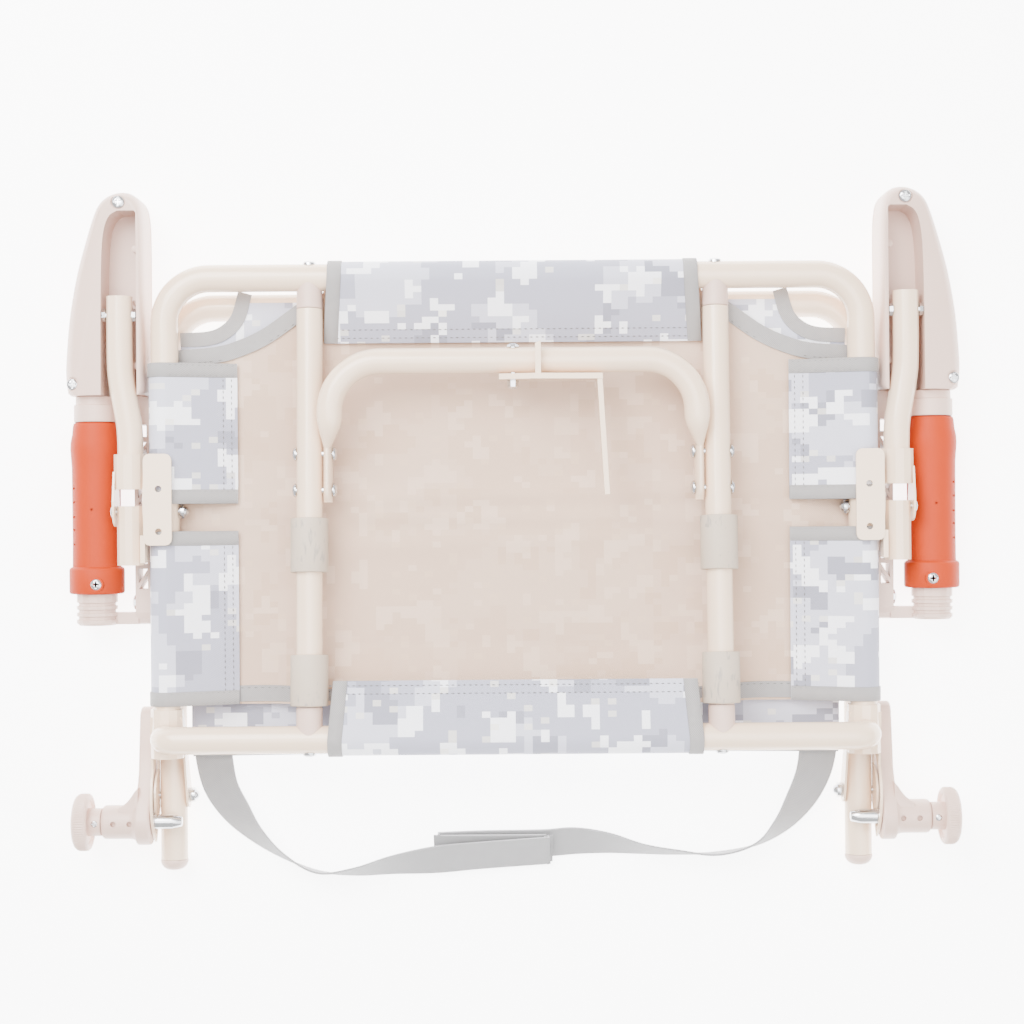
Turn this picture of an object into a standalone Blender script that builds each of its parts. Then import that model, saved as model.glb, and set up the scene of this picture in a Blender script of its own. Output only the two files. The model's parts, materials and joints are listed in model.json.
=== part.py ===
"""Legless folding armchair, folded flat: tubular seat and back frames, braced armrests, slings.

The chair lies folded with the underside of its seat up. +X is to the right, +Y points to the
seat's front bar, +Z is up. Piece coordinates are measured from the back's pivot line (y = 0) and
from the ground (z = 0); centre_on_floor() then moves everything to its final place.
"""

from math import acos, atan2, cos, hypot, pi, radians, sin

import bmesh
import bpy
from mathutils import Matrix, Vector

# ---- driving dimensions, metres -------------------------------------------------------------
GAP = 0.0003              # play between neighbours that touch
SIDES = 12                # sides of a frame tube
BOLT_SIDES = 8
TURN_SIDES = 16           # sides of a broad turned piece

TUBE_R = 0.011            # seat and back frame tube, outer radius
TUBE_WALL = 0.0015
SEAT_HALF_W = 0.280       # centre of the chair to the axis of a side tube
SEAT_DEPTH = 0.419        # back pivot line to the axis of the seat's front tube
BACK_HEIGHT = 0.398       # back pivot line to the axis of the back's top tube
BACK_TAIL = 0.052         # back tube past the pivot
CORNER_R = 0.036          # bend of the seat and back frames, at the tube's axis
GROUND_GAP = 0.003        # under the back's tubes
FOLD_GAP = 0.030          # back tube axis to seat tube axis, folded
RECLINE = radians(105)    # the back's whole swing

SLEEVE_WALL = 0.0019      # pressed sleeves and clevis ears
CLEVIS_MOUTH = 0.034      # pivot line to the closed part of the seat clevis
CLEVIS_LENGTH = 0.039
BOLT_R = 0.003
BOLT_PLAY = 0.0003
NUT_R = 0.0062
WASHER_T = 0.004          # spacer washer between a back tube and an arm

REAR_TUBE_Y = 0.0506      # rear cross tube
REAR_BEND_R = 0.0115      # bend at its ends, at the axis
REAR_END = 0.002          # straight end after the bend
RAIL_R = 0.0104           # the two lengthwise rails
RAIL_HALF_W = 0.163
PLUG_LENGTH = 0.013       # turned saddle plug at each end of a rail
RAIL_SLEEVE_R = 0.015
RAIL_SLEEVES = ((0.0770, 0.0405), (0.1825, 0.0430))   # start and length of each sleeve

BENCH_R = 0.0102          # inner frame
BENCH_HALF_W = 0.1455
BENCH_FRONT = 0.3495
BENCH_CORNER_R = 0.040
BENCH_FOOT = 0.238        # lower end of its flattened legs
BENCH_FLAT_T = 0.0072     # flattened end, thickness
BENCH_FLAT_H = 0.024      # flattened end, height
BENCH_RIVETS = (0.248, 0.277)

HOOK_T = 0.0044
HOOK_REACH = 0.066        # rivet to the bend of the hook's tail
HOOK_TAIL = 0.091

PIVOT_B = 0.158           # arm pivot on the back, brace pivot to arm joint: both bars alike
BRACE_Y = 0.232           # brace pivot on the seat
BRACE_X = 0.308           # brace clevis and stub tube
BRACE_TOP_X = 0.316
BRACE_R = 0.0104
BRACE_MOUTH = 0.018
BRACE_CLEVIS_L = 0.028
EAR_R = 0.012
STUB_LENGTH = 0.043
PLATE_T = 0.003           # arm bracket plate

RAIL_BAR_T = 0.013        # moulded arm rail, width
RAIL_BAR_H = 0.024
ARM_LOW = 0.140           # lower end of the arm rail
SHELL_START = 0.326       # where the armrest begins
SHELL_LENGTH = 0.164
SHELL_INNER_X = 0.296
SHELL_W = 0.066
SHELL_TOP = 0.050
COVER_T = 0.0117
SHELL_FLOOR = 0.004
SLOT_HALF_W = 0.0145
ARM_TUBE_X = 0.340        # axis of the grip and its collars
GRIP_R = 0.0195
COLLAR_R = 0.0225
GRIP_START = 0.1872       # ends of the soft grip
GRIP_END = 0.3048
COLLAR_START = 0.1656     # lower end of its collar
RING_R = 0.0176
BASE_R = 0.0164

PIN_Y = -0.0185           # recline pin, from the back pivot
PIN_Z = 0.022
PIN_R = 0.006
PIN_TIP_X = 0.270
PLUNGER_T = 0.0120        # plunger plate
HOUSING_R = 0.0136
HOUSING_L = 0.0280
KNOB_R = 0.0228
KNOB_T = 0.013
NECK_L = 0.0095
SPRING_TURNS = 4
SPRING_WIRE = 0.0006

CLOTH_T = 0.002
CLOTH_PLAY = 0.0007       # between a tube and the cloth round it
SEAT_FLAP = 0.056         # how far each flap comes back from its tube's axis
FRONT_FLAP = 0.052
BACK_FLAP = 0.040
FLAP_DROP = 0.0065        # a flap's free edge, below the tube's axis
SEAT_FLAPS = ((0.076, 0.216), (0.238, 0.351))     # start and end of each side flap
BACK_FLAPS = ((0.088, 0.142), (0.174, 0.345))
FRONT_WRAP_HALF_W = 0.148
REAR_WRAP_HALF_W = 0.140
SHEET_REAR = 0.076        # rear edge of the seat's sheet
BACK_SHEET_LOW = 0.034    # lower hem of the back's sheet
REAR_CLIMB = 0.118        # where the sheet starts to climb to the rear tube
REAR_WRAP_END = 0.097     # free edge of the cloth over the rear tube
STRAP_W = 0.028
STRAP_T = 0.0018

# ---- places that follow ---------------------------------------------------------------------
BACK_Z = TUBE_R + GROUND_GAP
SEAT_Z = BACK_Z + FOLD_GAP
SLEEVE_BORE = TUBE_R + GAP
SLEEVE_R = SLEEVE_BORE + SLEEVE_WALL
REAR_TUBE_LOW = SEAT_Z + SLEEVE_R + GAP
REAR_TUBE_Z = REAR_TUBE_LOW + REAR_END + REAR_BEND_R
JOINT_C_Y = BRACE_Y + PIVOT_B
BOLT_HOLE_R = (BOLT_R + BOLT_PLAY) / cos(pi / BOLT_SIDES)
PIN_REACH = hypot(PIN_Y, PIN_Z)
PIN_ANGLE = atan2(PIN_Z, PIN_Y)
RAIL_INNER_X = SEAT_HALF_W + TUBE_R + GAP + WASHER_T + GAP
RAIL_OUTER_X = RAIL_INNER_X + RAIL_BAR_T
PLATE_X = SEAT_HALF_W + SLEEVE_R + 0.0008
PLUNGER_OUT_X = PLATE_X + PLUNGER_T
HOUSING_OUT_X = PLUNGER_OUT_X + HOUSING_L
KNOB_IN_X = HOUSING_OUT_X + NECK_L
BENCH_Z = SEAT_Z + 0.026
ARM_TUBE_Z = COLLAR_R
FRONT_PLUG_Y = SEAT_DEPTH - TUBE_R - PLUG_LENGTH / 3
REAR_PLUG_Y = REAR_TUBE_Y + TUBE_R + PLUG_LENGTH / 3
SHELL_TIP = SHELL_START + SHELL_LENGTH

LEFT, RIGHT = -1, 1
SIDE_NAME = {LEFT: "left", RIGHT: "right"}


# ---- materials ------------------------------------------------------------------------------
def material(name, rgb, roughness, metallic=0.0):
    mat = bpy.data.materials.get(name)
    if mat is None:
        mat = bpy.data.materials.new(name)
        mat.use_nodes = True
        shader = mat.node_tree.nodes["Principled BSDF"]
        shader.inputs["Base Color"].default_value = (*rgb, 1.0)
        shader.inputs["Roughness"].default_value = roughness
        shader.inputs["Metallic"].default_value = metallic
    return mat


def cream_paint():
    return material("cream_paint", (0.85, 0.78, 0.68), 0.25)


def beige_plastic():
    return material("beige_plastic", (0.80, 0.72, 0.66), 0.40)


def orange_rubber():
    return material("orange_rubber", (0.95, 0.14, 0.02), 0.50)


def zinc():
    return material("zinc", (0.75, 0.75, 0.76), 0.22, 1.0)


def sling_cloth():
    return material("sling_cloth", (0.76, 0.70, 0.62), 0.85)


def webbing():
    return material("webbing", (0.58, 0.58, 0.60), 0.80)


# ---- mesh helpers ---------------------------------------------------------------------------
def finish_mesh(name, bm, mat, smooth=True):
    """Turn a bmesh into a linked object with its faces pointing out."""
    bmesh.ops.recalc_face_normals(bm, faces=bm.faces)
    mesh = bpy.data.meshes.new(name)
    bm.to_mesh(mesh)
    bm.free()
    mesh.materials.append(mat)
    if smooth:
        mesh.shade_smooth()
        mesh.set_sharp_from_angle(angle=radians(35))
    obj = bpy.data.objects.new(name, mesh)
    bpy.context.collection.objects.link(obj)
    return obj


def ring_loft(name, rings, mat, closed=False):
    """Skin a row of rings with equally many points; the ends are capped unless the row is closed."""
    bm = bmesh.new()
    rows = [[bm.verts.new(p) for p in ring] for ring in rings]
    pairs = list(zip(rows, rows[1:]))
    if closed:
        pairs.append((rows[-1], rows[0]))
    for a, b in pairs:
        for i in range(len(a)):
            j = (i + 1) % len(a)
            bm.faces.new((a[i], a[j], b[j], b[i]))
    if not closed:
        bm.faces.new(rows[0])
        bm.faces.new(rows[-1])
    return finish_mesh(name, bm, mat)


def path_frames(points):
    """Parallel-transported side and up vectors for each point of a path."""
    pts = [Vector(p) for p in points]
    tangents = []
    for i, p in enumerate(pts):
        ahead = pts[min(i + 1, len(pts) - 1)] - p
        behind = p - pts[max(i - 1, 0)]
        tangents.append((ahead.normalized() + behind.normalized()).normalized())
    up = Vector((0, 0, 1)) if abs(tangents[0].z) < 0.9 else Vector((0, 1, 0))
    frames = []
    for p, t in zip(pts, tangents):
        side = t.cross(up).normalized()
        up = side.cross(t).normalized()
        frames.append((p, side, up))
    return frames


def tube(name, points, radius, mat, wall=None, sides=SIDES):
    """A swept round bar, or with a wall a hollow tube with open ends."""
    def ring(frame, r):
        p, side, up = frame
        return [p + side * (r * cos(2 * pi * k / sides)) + up * (r * sin(2 * pi * k / sides))
                for k in range(sides)]
    frames = path_frames(points)
    outer = [ring(f, radius) for f in frames]
    if wall is None:
        return ring_loft(name, outer, mat)
    inner = [ring(f, radius - wall) for f in reversed(frames)]
    return ring_loft(name, outer + inner, mat, closed=True)


def turned(name, profile, origin, axis, mat, sides=SIDES):
    """Spin a (distance, radius) profile about an axis; a closed loop of points has a bore."""
    turn = Vector((0, 0, 1)).rotation_difference(Vector(axis)).to_matrix()
    def ring(along, r):
        return [Vector(origin) + turn @ Vector((r * cos(2 * pi * (k + 0.5) / sides),
                                               r * sin(2 * pi * (k + 0.5) / sides), along))
                for k in range(sides)]
    bored = profile[0] == profile[-1]
    rings = [ring(*p) for p in (profile[:-1] if bored else profile)]
    return ring_loft(name, rings, mat, closed=bored)


def sleeve(name, start, length, bore, outer, origin, axis, mat, sides=SIDES):
    end = start + length
    bore = bore / cos(pi / sides)
    loop = [(start, bore), (start, outer), (end, outer), (end, bore), (start, bore)]
    return turned(name, loop, origin, axis, mat, sides)


def prism(name, outline, low, high, axis, mat, smooth=False):
    """Extrude an outline of (u, v) points along X, Y or Z between two levels."""
    place = {"X": lambda u, v, w: (w, u, v), "Y": lambda u, v, w: (u, w, v),
             "Z": lambda u, v, w: (u, v, w)}[axis]
    rings = [[place(u, v, w) for u, v in outline] for w in (low, high)]
    obj = ring_loft(name, rings, mat)
    if not smooth:
        obj.data.shade_flat()
    return obj


def arc(centre, radius, start, end, steps):
    """Points of a circular arc, angles in radians, in the plane of an outline."""
    return [(centre[0] + radius * cos(start + (end - start) * k / steps),
             centre[1] + radius * sin(start + (end - start) * k / steps)) for k in range(steps + 1)]


def combine(target, other, operation):
    """Apply a Boolean of one object on another and remove the other."""
    other.hide_render = True
    other.display_type = "WIRE"
    mod = target.modifiers.new(operation.lower(), "BOOLEAN")
    mod.operation = operation
    mod.solver = "EXACT"
    mod.object = other
    evaluated = target.evaluated_get(bpy.context.evaluated_depsgraph_get())
    mesh = bpy.data.meshes.new_from_object(evaluated)
    target.modifiers.clear()
    target.data = mesh
    bpy.data.objects.remove(other)
    return target


def join(target, *others):
    for other in others:
        combine(target, other, "UNION")
    return target


def cut(target, *cutters):
    for cutter in cutters:
        combine(target, cutter, "DIFFERENCE")
    return target


def drill(target, axis, centre, radius, length, sides=BOLT_SIDES):
    """Cut a round hole whose middle is at centre."""
    half = length / 2
    bit = turned("bit", [(-half, radius), (half, radius)], centre, axis, zinc(), sides)
    return cut(target, bit)


def axis_empty(name, place, parent=None):
    empty = bpy.data.objects.new(name, None)
    empty.empty_display_size = 0.02
    bpy.context.collection.objects.link(empty)
    empty.parent = parent
    empty.location = Vector(place) - (offset_of(parent) if parent else Vector())
    return empty


def offset_of(obj):
    total = Vector()
    while obj is not None:
        total += obj.location
        obj = obj.parent
    return total


def hang(empty, *objects):
    """Parent pieces to an empty, with their meshes measured from it."""
    shift = Matrix.Translation(-offset_of(empty))
    for obj in objects:
        obj.data.transform(shift)
        obj.parent = empty


# ---- seat frame -----------------------------------------------------------------------------
def u_path(half_w, low, top, corner_r, z, steps=6):
    """A flat U: up the left leg, across the top, and down the right leg."""
    left = arc((-half_w + corner_r, top - corner_r), corner_r, pi, pi / 2, steps)
    right = arc((half_w - corner_r, top - corner_r), corner_r, pi / 2, 0, steps)
    flat = [(-half_w, low), *left, *right, (half_w, low)]
    return [(x, y, z) for x, y in flat]


def seat_frame():
    start = CLEVIS_MOUTH + 0.005
    path = u_path(SEAT_HALF_W, start, SEAT_DEPTH, CORNER_R, SEAT_Z)
    obj = tube("seat_frame", path, TUBE_R, cream_paint(), TUBE_WALL)
    for side in (LEFT, RIGHT):
        drill(obj, (1, 0, 0), (side * SEAT_HALF_W, BRACE_Y, SEAT_Z), BOLT_HOLE_R, 3 * TUBE_R)
    return obj


def rear_cross_tube():
    """The rear tube: straight, with both ends bent down onto the seat clevises."""
    centre = (SEAT_HALF_W - REAR_BEND_R, REAR_TUBE_Z - REAR_BEND_R)
    half = arc(centre, REAR_BEND_R, pi / 2, 0, 5) + [(SEAT_HALF_W, REAR_TUBE_LOW)]
    pts = [(-x, REAR_TUBE_Y, z) for x, z in reversed(half)]
    pts += [(x, REAR_TUBE_Y, z) for x, z in half]
    return tube("rear_cross_tube", pts, TUBE_R, cream_paint(), TUBE_WALL)


def rail_line(side):
    """Both ends of a rail's axis, between its plugs."""
    x = side * RAIL_HALF_W
    return Vector((x, FRONT_PLUG_Y, SEAT_Z)), Vector((x, REAR_PLUG_Y, REAR_TUBE_Z))


def rail_point(side, y):
    front, rear = rail_line(side)
    return front.lerp(rear, (front.y - y) / (front.y - rear.y))


def rail_direction(side):
    front, rear = rail_line(side)
    return (rear - front).normalized()


def seat_rail(side):
    front, rear = rail_line(side)
    step = rail_direction(side) * (PLUG_LENGTH + GAP) * 0.8
    obj = tube(f"seat_rail_{SIDE_NAME[side]}", [front + step, rear - step], RAIL_R,
               cream_paint(), TUBE_WALL)
    for y in BENCH_RIVETS:
        drill(obj, (1, 0, 0), rail_point(side, y), BOLT_HOLE_R, 3 * RAIL_R)
    return obj


def saddle_plug(side, name, end, cross_y, cross_z, inward):
    """A turned plug, coped to sit on a cross tube, that closes one end of a rail."""
    step = PLUG_LENGTH * 0.8 - GAP
    way = rail_direction(side) * inward
    profile = [(-0.012, RAIL_R), (step - 0.003, RAIL_R), (step - 0.002, RAIL_R - 0.0007),
               (step - 0.001, RAIL_R), (step, RAIL_R)]
    plug = turned(f"saddle_plug_{name}_{SIDE_NAME[side]}", profile, end, way, beige_plastic())
    half = 3 * RAIL_R
    saddle = turned("saddle", [(-half, TUBE_R + GAP), (half, TUBE_R + GAP)],
                    (end.x, cross_y, cross_z), (1, 0, 0), zinc(), 24)
    cut(plug, saddle)
    keep_biggest(plug)
    return plug


def keep_biggest(obj):
    """Drop slivers that a cut leaves on the far side of a cross tube."""
    bm = bmesh.new()
    bm.from_mesh(obj.data)
    left = set(bm.verts)
    islands = []
    while left:
        island, todo = set(), [left.pop()]
        while todo:
            v = todo.pop()
            island.add(v)
            near = {e.other_vert(v) for e in v.link_edges} - island
            todo.extend(near & left)
            left -= near
        islands.append(island)
    islands.sort(key=len)
    for island in islands[:-1]:
        bmesh.ops.delete(bm, geom=list(island), context="VERTS")
    bm.to_mesh(obj.data)
    bm.free()


def saddle_plugs(side):
    front, rear = rail_line(side)
    return [saddle_plug(side, "front", front, SEAT_DEPTH, SEAT_Z, 1),
            saddle_plug(side, "rear", rear, REAR_TUBE_Y, REAR_TUBE_Z, -1)]


def rail_sleeves(side):
    made = []
    for name, (start, length) in zip(("rear", "front"), RAIL_SLEEVES):
        origin = rail_point(side, start + length)
        made.append(sleeve(f"rail_sleeve_{name}_{SIDE_NAME[side]}", 0, length, RAIL_R + GAP,
                           RAIL_SLEEVE_R, origin, rail_direction(side), beige_plastic()))
    return made


def bench_frame():
    """The inner frame: a U tube whose legs dive to the rails and end in flattened feet."""
    x, z = BENCH_HALF_W, BENCH_Z
    flat_x = RAIL_HALF_W - RAIL_R - GAP - 0.0006 - BENCH_FLAT_T / 2
    corner = arc((x - BENCH_CORNER_R, BENCH_FRONT - BENCH_CORNER_R), BENCH_CORNER_R, pi / 2, 0, 6)
    leg = [(cx, cy, z, BENCH_R, BENCH_R) for cx, cy in corner]
    tall, thin = BENCH_FLAT_H / 2, BENCH_FLAT_T / 2
    low = rail_point(RIGHT, BENCH_RIVETS[1]).z
    mix = ((0.0, 0.304), (0.3, 0.298), (0.7, 0.292), (1.0, 0.286))
    for share, y in mix[1:]:
        leg.append((x + (flat_x - x) * share, y, z + (low - z) * share,
                    BENCH_R + (thin - BENCH_R) * share, BENCH_R + (tall - BENCH_R) * share))
    low_z = rail_point(RIGHT, BENCH_FOOT).z
    leg.append((flat_x, BENCH_FOOT + 0.008, low_z, thin, tall))
    leg.append((flat_x, BENCH_FOOT, low_z, thin, tall * 0.65))
    rows = [(-cx, cy, cz, a, b) for cx, cy, cz, a, b in reversed(leg)] + leg
    frames = path_frames([row[:3] for row in rows])
    rings = []
    for (p, across, up), row in zip(frames, rows):
        rings.append([p + across * (row[3] * cos(2 * pi * k / SIDES))
                      + up * (row[4] * sin(2 * pi * k / SIDES)) for k in range(SIDES)])
    obj = ring_loft("bench_frame", rings, cream_paint())
    for side in (LEFT, RIGHT):
        for y in BENCH_RIVETS:
            centre = rail_point(side, y)
            centre.x = side * flat_x
            drill(obj, (1, 0, 0), centre, BOLT_HOLE_R, 4 * BENCH_FLAT_T)
    drill(obj, (0, 1, 0), (0, BENCH_FRONT, BENCH_Z), BOLT_HOLE_R, 3 * BENCH_R)
    return obj


def bench_rivet(side, index):
    """A domed rivet through a rail and a foot of the inner frame."""
    centre = rail_point(side, BENCH_RIVETS[index])
    inner = RAIL_HALF_W - RAIL_R - BENCH_FLAT_T - 3 * GAP - 0.0006
    outer = RAIL_HALF_W + RAIL_R + GAP
    name = f"bench_rivet_{('rear', 'front')[index]}_{SIDE_NAME[side]}"
    profile = [(inner - 0.0030, 0.0025), (inner - 0.0015, 0.0052), (inner, 0.0056),
               (inner, BOLT_R), (outer, BOLT_R), (outer, 0.0056), (outer + 0.0015, 0.0052),
               (outer + 0.0030, 0.0025)]
    origin = (0, centre.y, centre.z)
    return turned(name, profile, origin, (side, 0, 0), zinc(), BOLT_SIDES)


# ---- clevises, brackets and bolts -----------------------------------------------------------
def ear_to_sleeve(pivot_yz, radius, to_y, half_h, axis_z, start, end):
    """An ear's outline: a round end about the pivot that runs into a sleeve."""
    return arc(pivot_yz, radius, start, end, 12) + [(to_y, axis_z - half_h), (to_y, axis_z + half_h)]


def seat_clevis(side):
    """The sleeve on a seat tube's rear end, with an ear on each side of the back tube.

    The outer ear is a sector with a curved slot that the recline pin travels in.
    """
    x = SEAT_HALF_W
    name = f"seat_clevis_{SIDE_NAME[side]}"
    body = sleeve(name, CLEVIS_MOUTH, CLEVIS_LENGTH, SLEEVE_BORE, SLEEVE_R, (side * x, 0, SEAT_Z),
                  (0, 1, 0), cream_paint())
    far = CLEVIS_MOUTH + CLEVIS_LENGTH - 0.006
    low_x, high_x = side * (x - SLEEVE_BORE), side * (x - SLEEVE_R + 0.0002)
    round_end = ear_to_sleeve((0, BACK_Z), 0.0100, far, 0.006, SEAT_Z, radians(120), radians(310))
    inner = prism("ear", round_end, low_x, high_x, "X", cream_paint())
    slot_in, slot_out = PIN_REACH - PIN_R - 0.0008, PIN_REACH + PIN_R + 0.0008
    past = (PIN_R + 0.0016) / PIN_REACH
    first, last = PIN_ANGLE - RECLINE - past, PIN_ANGLE + past
    rim = slot_out + 0.004
    margin = 0.0045 / PIN_REACH
    outline = arc((0, BACK_Z), rim, radians(52), last + margin, 10)
    outline += arc((0, BACK_Z), 0.0100, last + margin + 0.5, 2 * pi + first - margin - 0.5, 10)
    outline += arc((0, BACK_Z), rim, first - margin, radians(8), 3)
    outline += [(far, SEAT_Z - 0.006), (far, SEAT_Z + 0.006)]
    outer = prism("sector", outline, side * (x + SLEEVE_BORE), side * (x + SLEEVE_R - 0.0002), "X",
                  cream_paint())
    slot = arc((0, BACK_Z), slot_out, first, last, 14) + arc((0, BACK_Z), slot_in, last, first, 14)
    slot_cutter = prism("slot", slot, side * (x + SLEEVE_BORE - 0.001), side * (x + SLEEVE_R + 0.001),
                        "X", cream_paint())
    cut(outer, slot_cutter)
    join(body, inner, outer)
    return drill(body, (1, 0, 0), (side * x, 0, BACK_Z), BOLT_HOLE_R, 4 * TUBE_R)


def back_pivot_bolt(side):
    head = PLUNGER_OUT_X + GAP
    nut = SEAT_HALF_W - SLEEVE_R - GAP
    profile = [(nut - 0.0072, 0.0020), (nut - 0.0055, 0.0048), (nut - 0.0040, NUT_R),
               (nut, NUT_R), (nut, BOLT_R), (head, BOLT_R), (head, NUT_R), (head + 0.0020, NUT_R),
               (head + 0.0034, 0.0040)]
    return turned(f"back_pivot_bolt_{SIDE_NAME[side]}", profile, (0, 0, BACK_Z), (side, 0, 0),
                  zinc(), BOLT_SIDES)


def arm_pivot_bolt(side):
    """The arm's bolt, with the washer that keeps the arm clear of the back tube."""
    head = RAIL_OUTER_X + GAP
    washer = SEAT_HALF_W + TUBE_R + GAP
    nut = SEAT_HALF_W - TUBE_R - GAP
    profile = [(nut - 0.0060, 0.0030), (nut - 0.0050, 0.0055), (nut, 0.0058), (nut, BOLT_R),
               (washer, BOLT_R), (washer, 0.0090), (washer + WASHER_T, 0.0090),
               (washer + WASHER_T, BOLT_R), (head, BOLT_R), (head, NUT_R), (head + 0.0018, NUT_R),
               (head + 0.0032, 0.0040)]
    return turned(f"arm_pivot_bolt_{SIDE_NAME[side]}", profile, (0, PIVOT_B, BACK_Z), (side, 0, 0),
                  zinc(), BOLT_SIDES)


def brace_pivot_bolt(side):
    head = BRACE_X + SLEEVE_R + GAP
    nut = SEAT_HALF_W - TUBE_R - GAP
    spacer_low = SEAT_HALF_W + TUBE_R + GAP
    spacer_high = BRACE_X - SLEEVE_R - GAP
    profile = [(nut - 0.0035, 0.0022), (nut - 0.0025, 0.0040), (nut, 0.0044), (nut, BOLT_R),
               (spacer_low, BOLT_R), (spacer_low, 0.0042), (spacer_high, 0.0042),
               (spacer_high, BOLT_R), (head, BOLT_R), (head, NUT_R), (head + 0.0022, NUT_R),
               (head + 0.0038, 0.0036)]
    return turned(f"brace_pivot_bolt_{SIDE_NAME[side]}", profile, (0, BRACE_Y, SEAT_Z),
                  (side, 0, 0), zinc(), BOLT_SIDES)


def arm_bracket(side):
    """The stub tube that carries a brace, with its welded web and the plate on the seat tube."""
    end = BRACE_Y + 0.0045
    start = end - STUB_LENGTH - 0.0045
    stub = sleeve(f"arm_bracket_{SIDE_NAME[side]}", start, end - start, TUBE_R - TUBE_WALL, TUBE_R,
                  (side * BRACE_X, 0, SEAT_Z), (0, 1, 0), cream_paint())
    web_in = SEAT_HALF_W + SLEEVE_R + CLOTH_T / 2
    web_high = SEAT_Z + SLEEVE_R + GAP + CLOTH_T / 2
    web = prism("web", [(start + 0.002, SEAT_Z - 0.006), (BRACE_Y - 0.019, SEAT_Z - 0.006),
                        (BRACE_Y - 0.019, web_high + 0.001), (start + 0.002, web_high + 0.001)],
                side * web_in, side * (BRACE_X - TUBE_R + 0.0010), "X", cream_paint())
    low, high = BRACE_Y - 0.027, BRACE_Y + 0.046
    corners = [(side * x, y) for x, y in rounded_box(SEAT_HALF_W - 0.0075, low,
                                                     SEAT_HALF_W + 0.0150, high, 0.005)]
    plate = prism("plate", corners, web_high, web_high + PLATE_T, "Z", cream_paint())
    for y in (BRACE_Y - 0.016, BRACE_Y + 0.018):
        drill(plate, (0, 0, 1), (side * (SEAT_HALF_W + 0.003), y, web_high), 0.0028, 0.02)
    join(stub, web, plate)
    return drill(stub, (1, 0, 0), (side * BRACE_X, BRACE_Y, SEAT_Z), BOLT_HOLE_R, 3 * TUBE_R)


def rounded_box(x0, y0, x1, y1, r, steps=3):
    """The outline of a box with round corners."""
    return (arc((x1 - r, y0 + r), r, -pi / 2, 0, steps) + arc((x1 - r, y1 - r), r, 0, pi / 2, steps)
            + arc((x0 + r, y1 - r), r, pi / 2, pi, steps)
            + arc((x0 + r, y0 + r), r, pi, 3 * pi / 2, steps))


# ---- hook -----------------------------------------------------------------------------------
def bench_hook():
    """The flat Z-shaped hook under the inner frame's bar, which swivels on its rivet."""
    t = HOOK_T
    low = BENCH_FRONT - BENCH_R - 0.0012 - t
    high = low + t
    over = BENCH_FRONT + 0.014
    z = BENCH_Z
    plate = prism("bench_hook", [(-0.011, z - 0.009), (HOOK_REACH + t, z - 0.007),
                                 (HOOK_REACH + t, z + 0.014), (0.016, z + 0.020),
                                 (-0.011, z + 0.012)], low, high, "Y", cream_paint())
    lip = prism("lip", [(0.0175, low + 0.001), (0.0175 + t, low + 0.001), (0.0175 + t, over),
                        (0.0175, over - 0.002)], z + BENCH_R + 0.0015, z + 0.019, "Z", cream_paint())
    x0, x1 = HOOK_REACH + 0.0002, HOOK_REACH + HOOK_T - 0.0002
    tail_low = low - HOOK_TAIL
    tail = prism("tail", [(high - 0.001, z - 0.0065), (high - 0.001, z + 0.0135),
                          (low - 0.02, z + 0.012), (tail_low, z + 0.007), (tail_low, z - 0.003),
                          (low - 0.02, z - 0.0062)], x0, x1, "X", cream_paint())
    lean = Matrix.Translation((x0, low, 0)) @ Matrix.Rotation(radians(3.5), 4, "Z") \
        @ Matrix.Translation((-x0, -low, 0))
    tail.data.transform(lean)
    join(plate, lip, tail)
    return drill(plate, (0, 1, 0), (0, low, BENCH_Z), BOLT_HOLE_R, 5 * t)


def hook_rivet():
    top = BENCH_FRONT + BENCH_R + GAP
    under = BENCH_FRONT - BENCH_R - 0.0012 - HOOK_T - GAP
    profile = [(under - 0.0065, 0.0024), (under - 0.0050, 0.0046), (under - 0.0005, 0.0050),
               (under, 0.0050), (under, BOLT_R), (top, BOLT_R), (top, 0.0052),
               (top + 0.0016, 0.0046), (top + 0.0028, 0.0022)]
    return turned("hook_rivet", profile, (0, 0, BENCH_Z), (0, 1, 0), zinc(), BOLT_SIDES)


# ---- back frame and plungers ----------------------------------------------------------------
def back_frame():
    path = u_path(SEAT_HALF_W, -BACK_TAIL, BACK_HEIGHT, CORNER_R, BACK_Z)
    obj = tube("back_frame", path, TUBE_R, cream_paint(), TUBE_WALL)
    for side in (LEFT, RIGHT):
        for y in (0, PIVOT_B):
            drill(obj, (1, 0, 0), (side * SEAT_HALF_W, y, BACK_Z), BOLT_HOLE_R, 3 * TUBE_R)
    return obj


def back_end_cap(side):
    bore = (TUBE_R - TUBE_WALL) * cos(pi / SIDES) - GAP
    start = BACK_TAIL + GAP
    profile = [(start - 0.011, bore - 0.0005), (start - 0.010, bore), (start, bore),
               (start, TUBE_R + GAP), (start + 0.0065, TUBE_R + GAP), (start + 0.0088, TUBE_R - 0.003)]
    return turned(f"back_end_cap_{SIDE_NAME[side]}", profile, (side * SEAT_HALF_W, 0, BACK_Z),
                  (0, -1, 0), beige_plastic())


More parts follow.
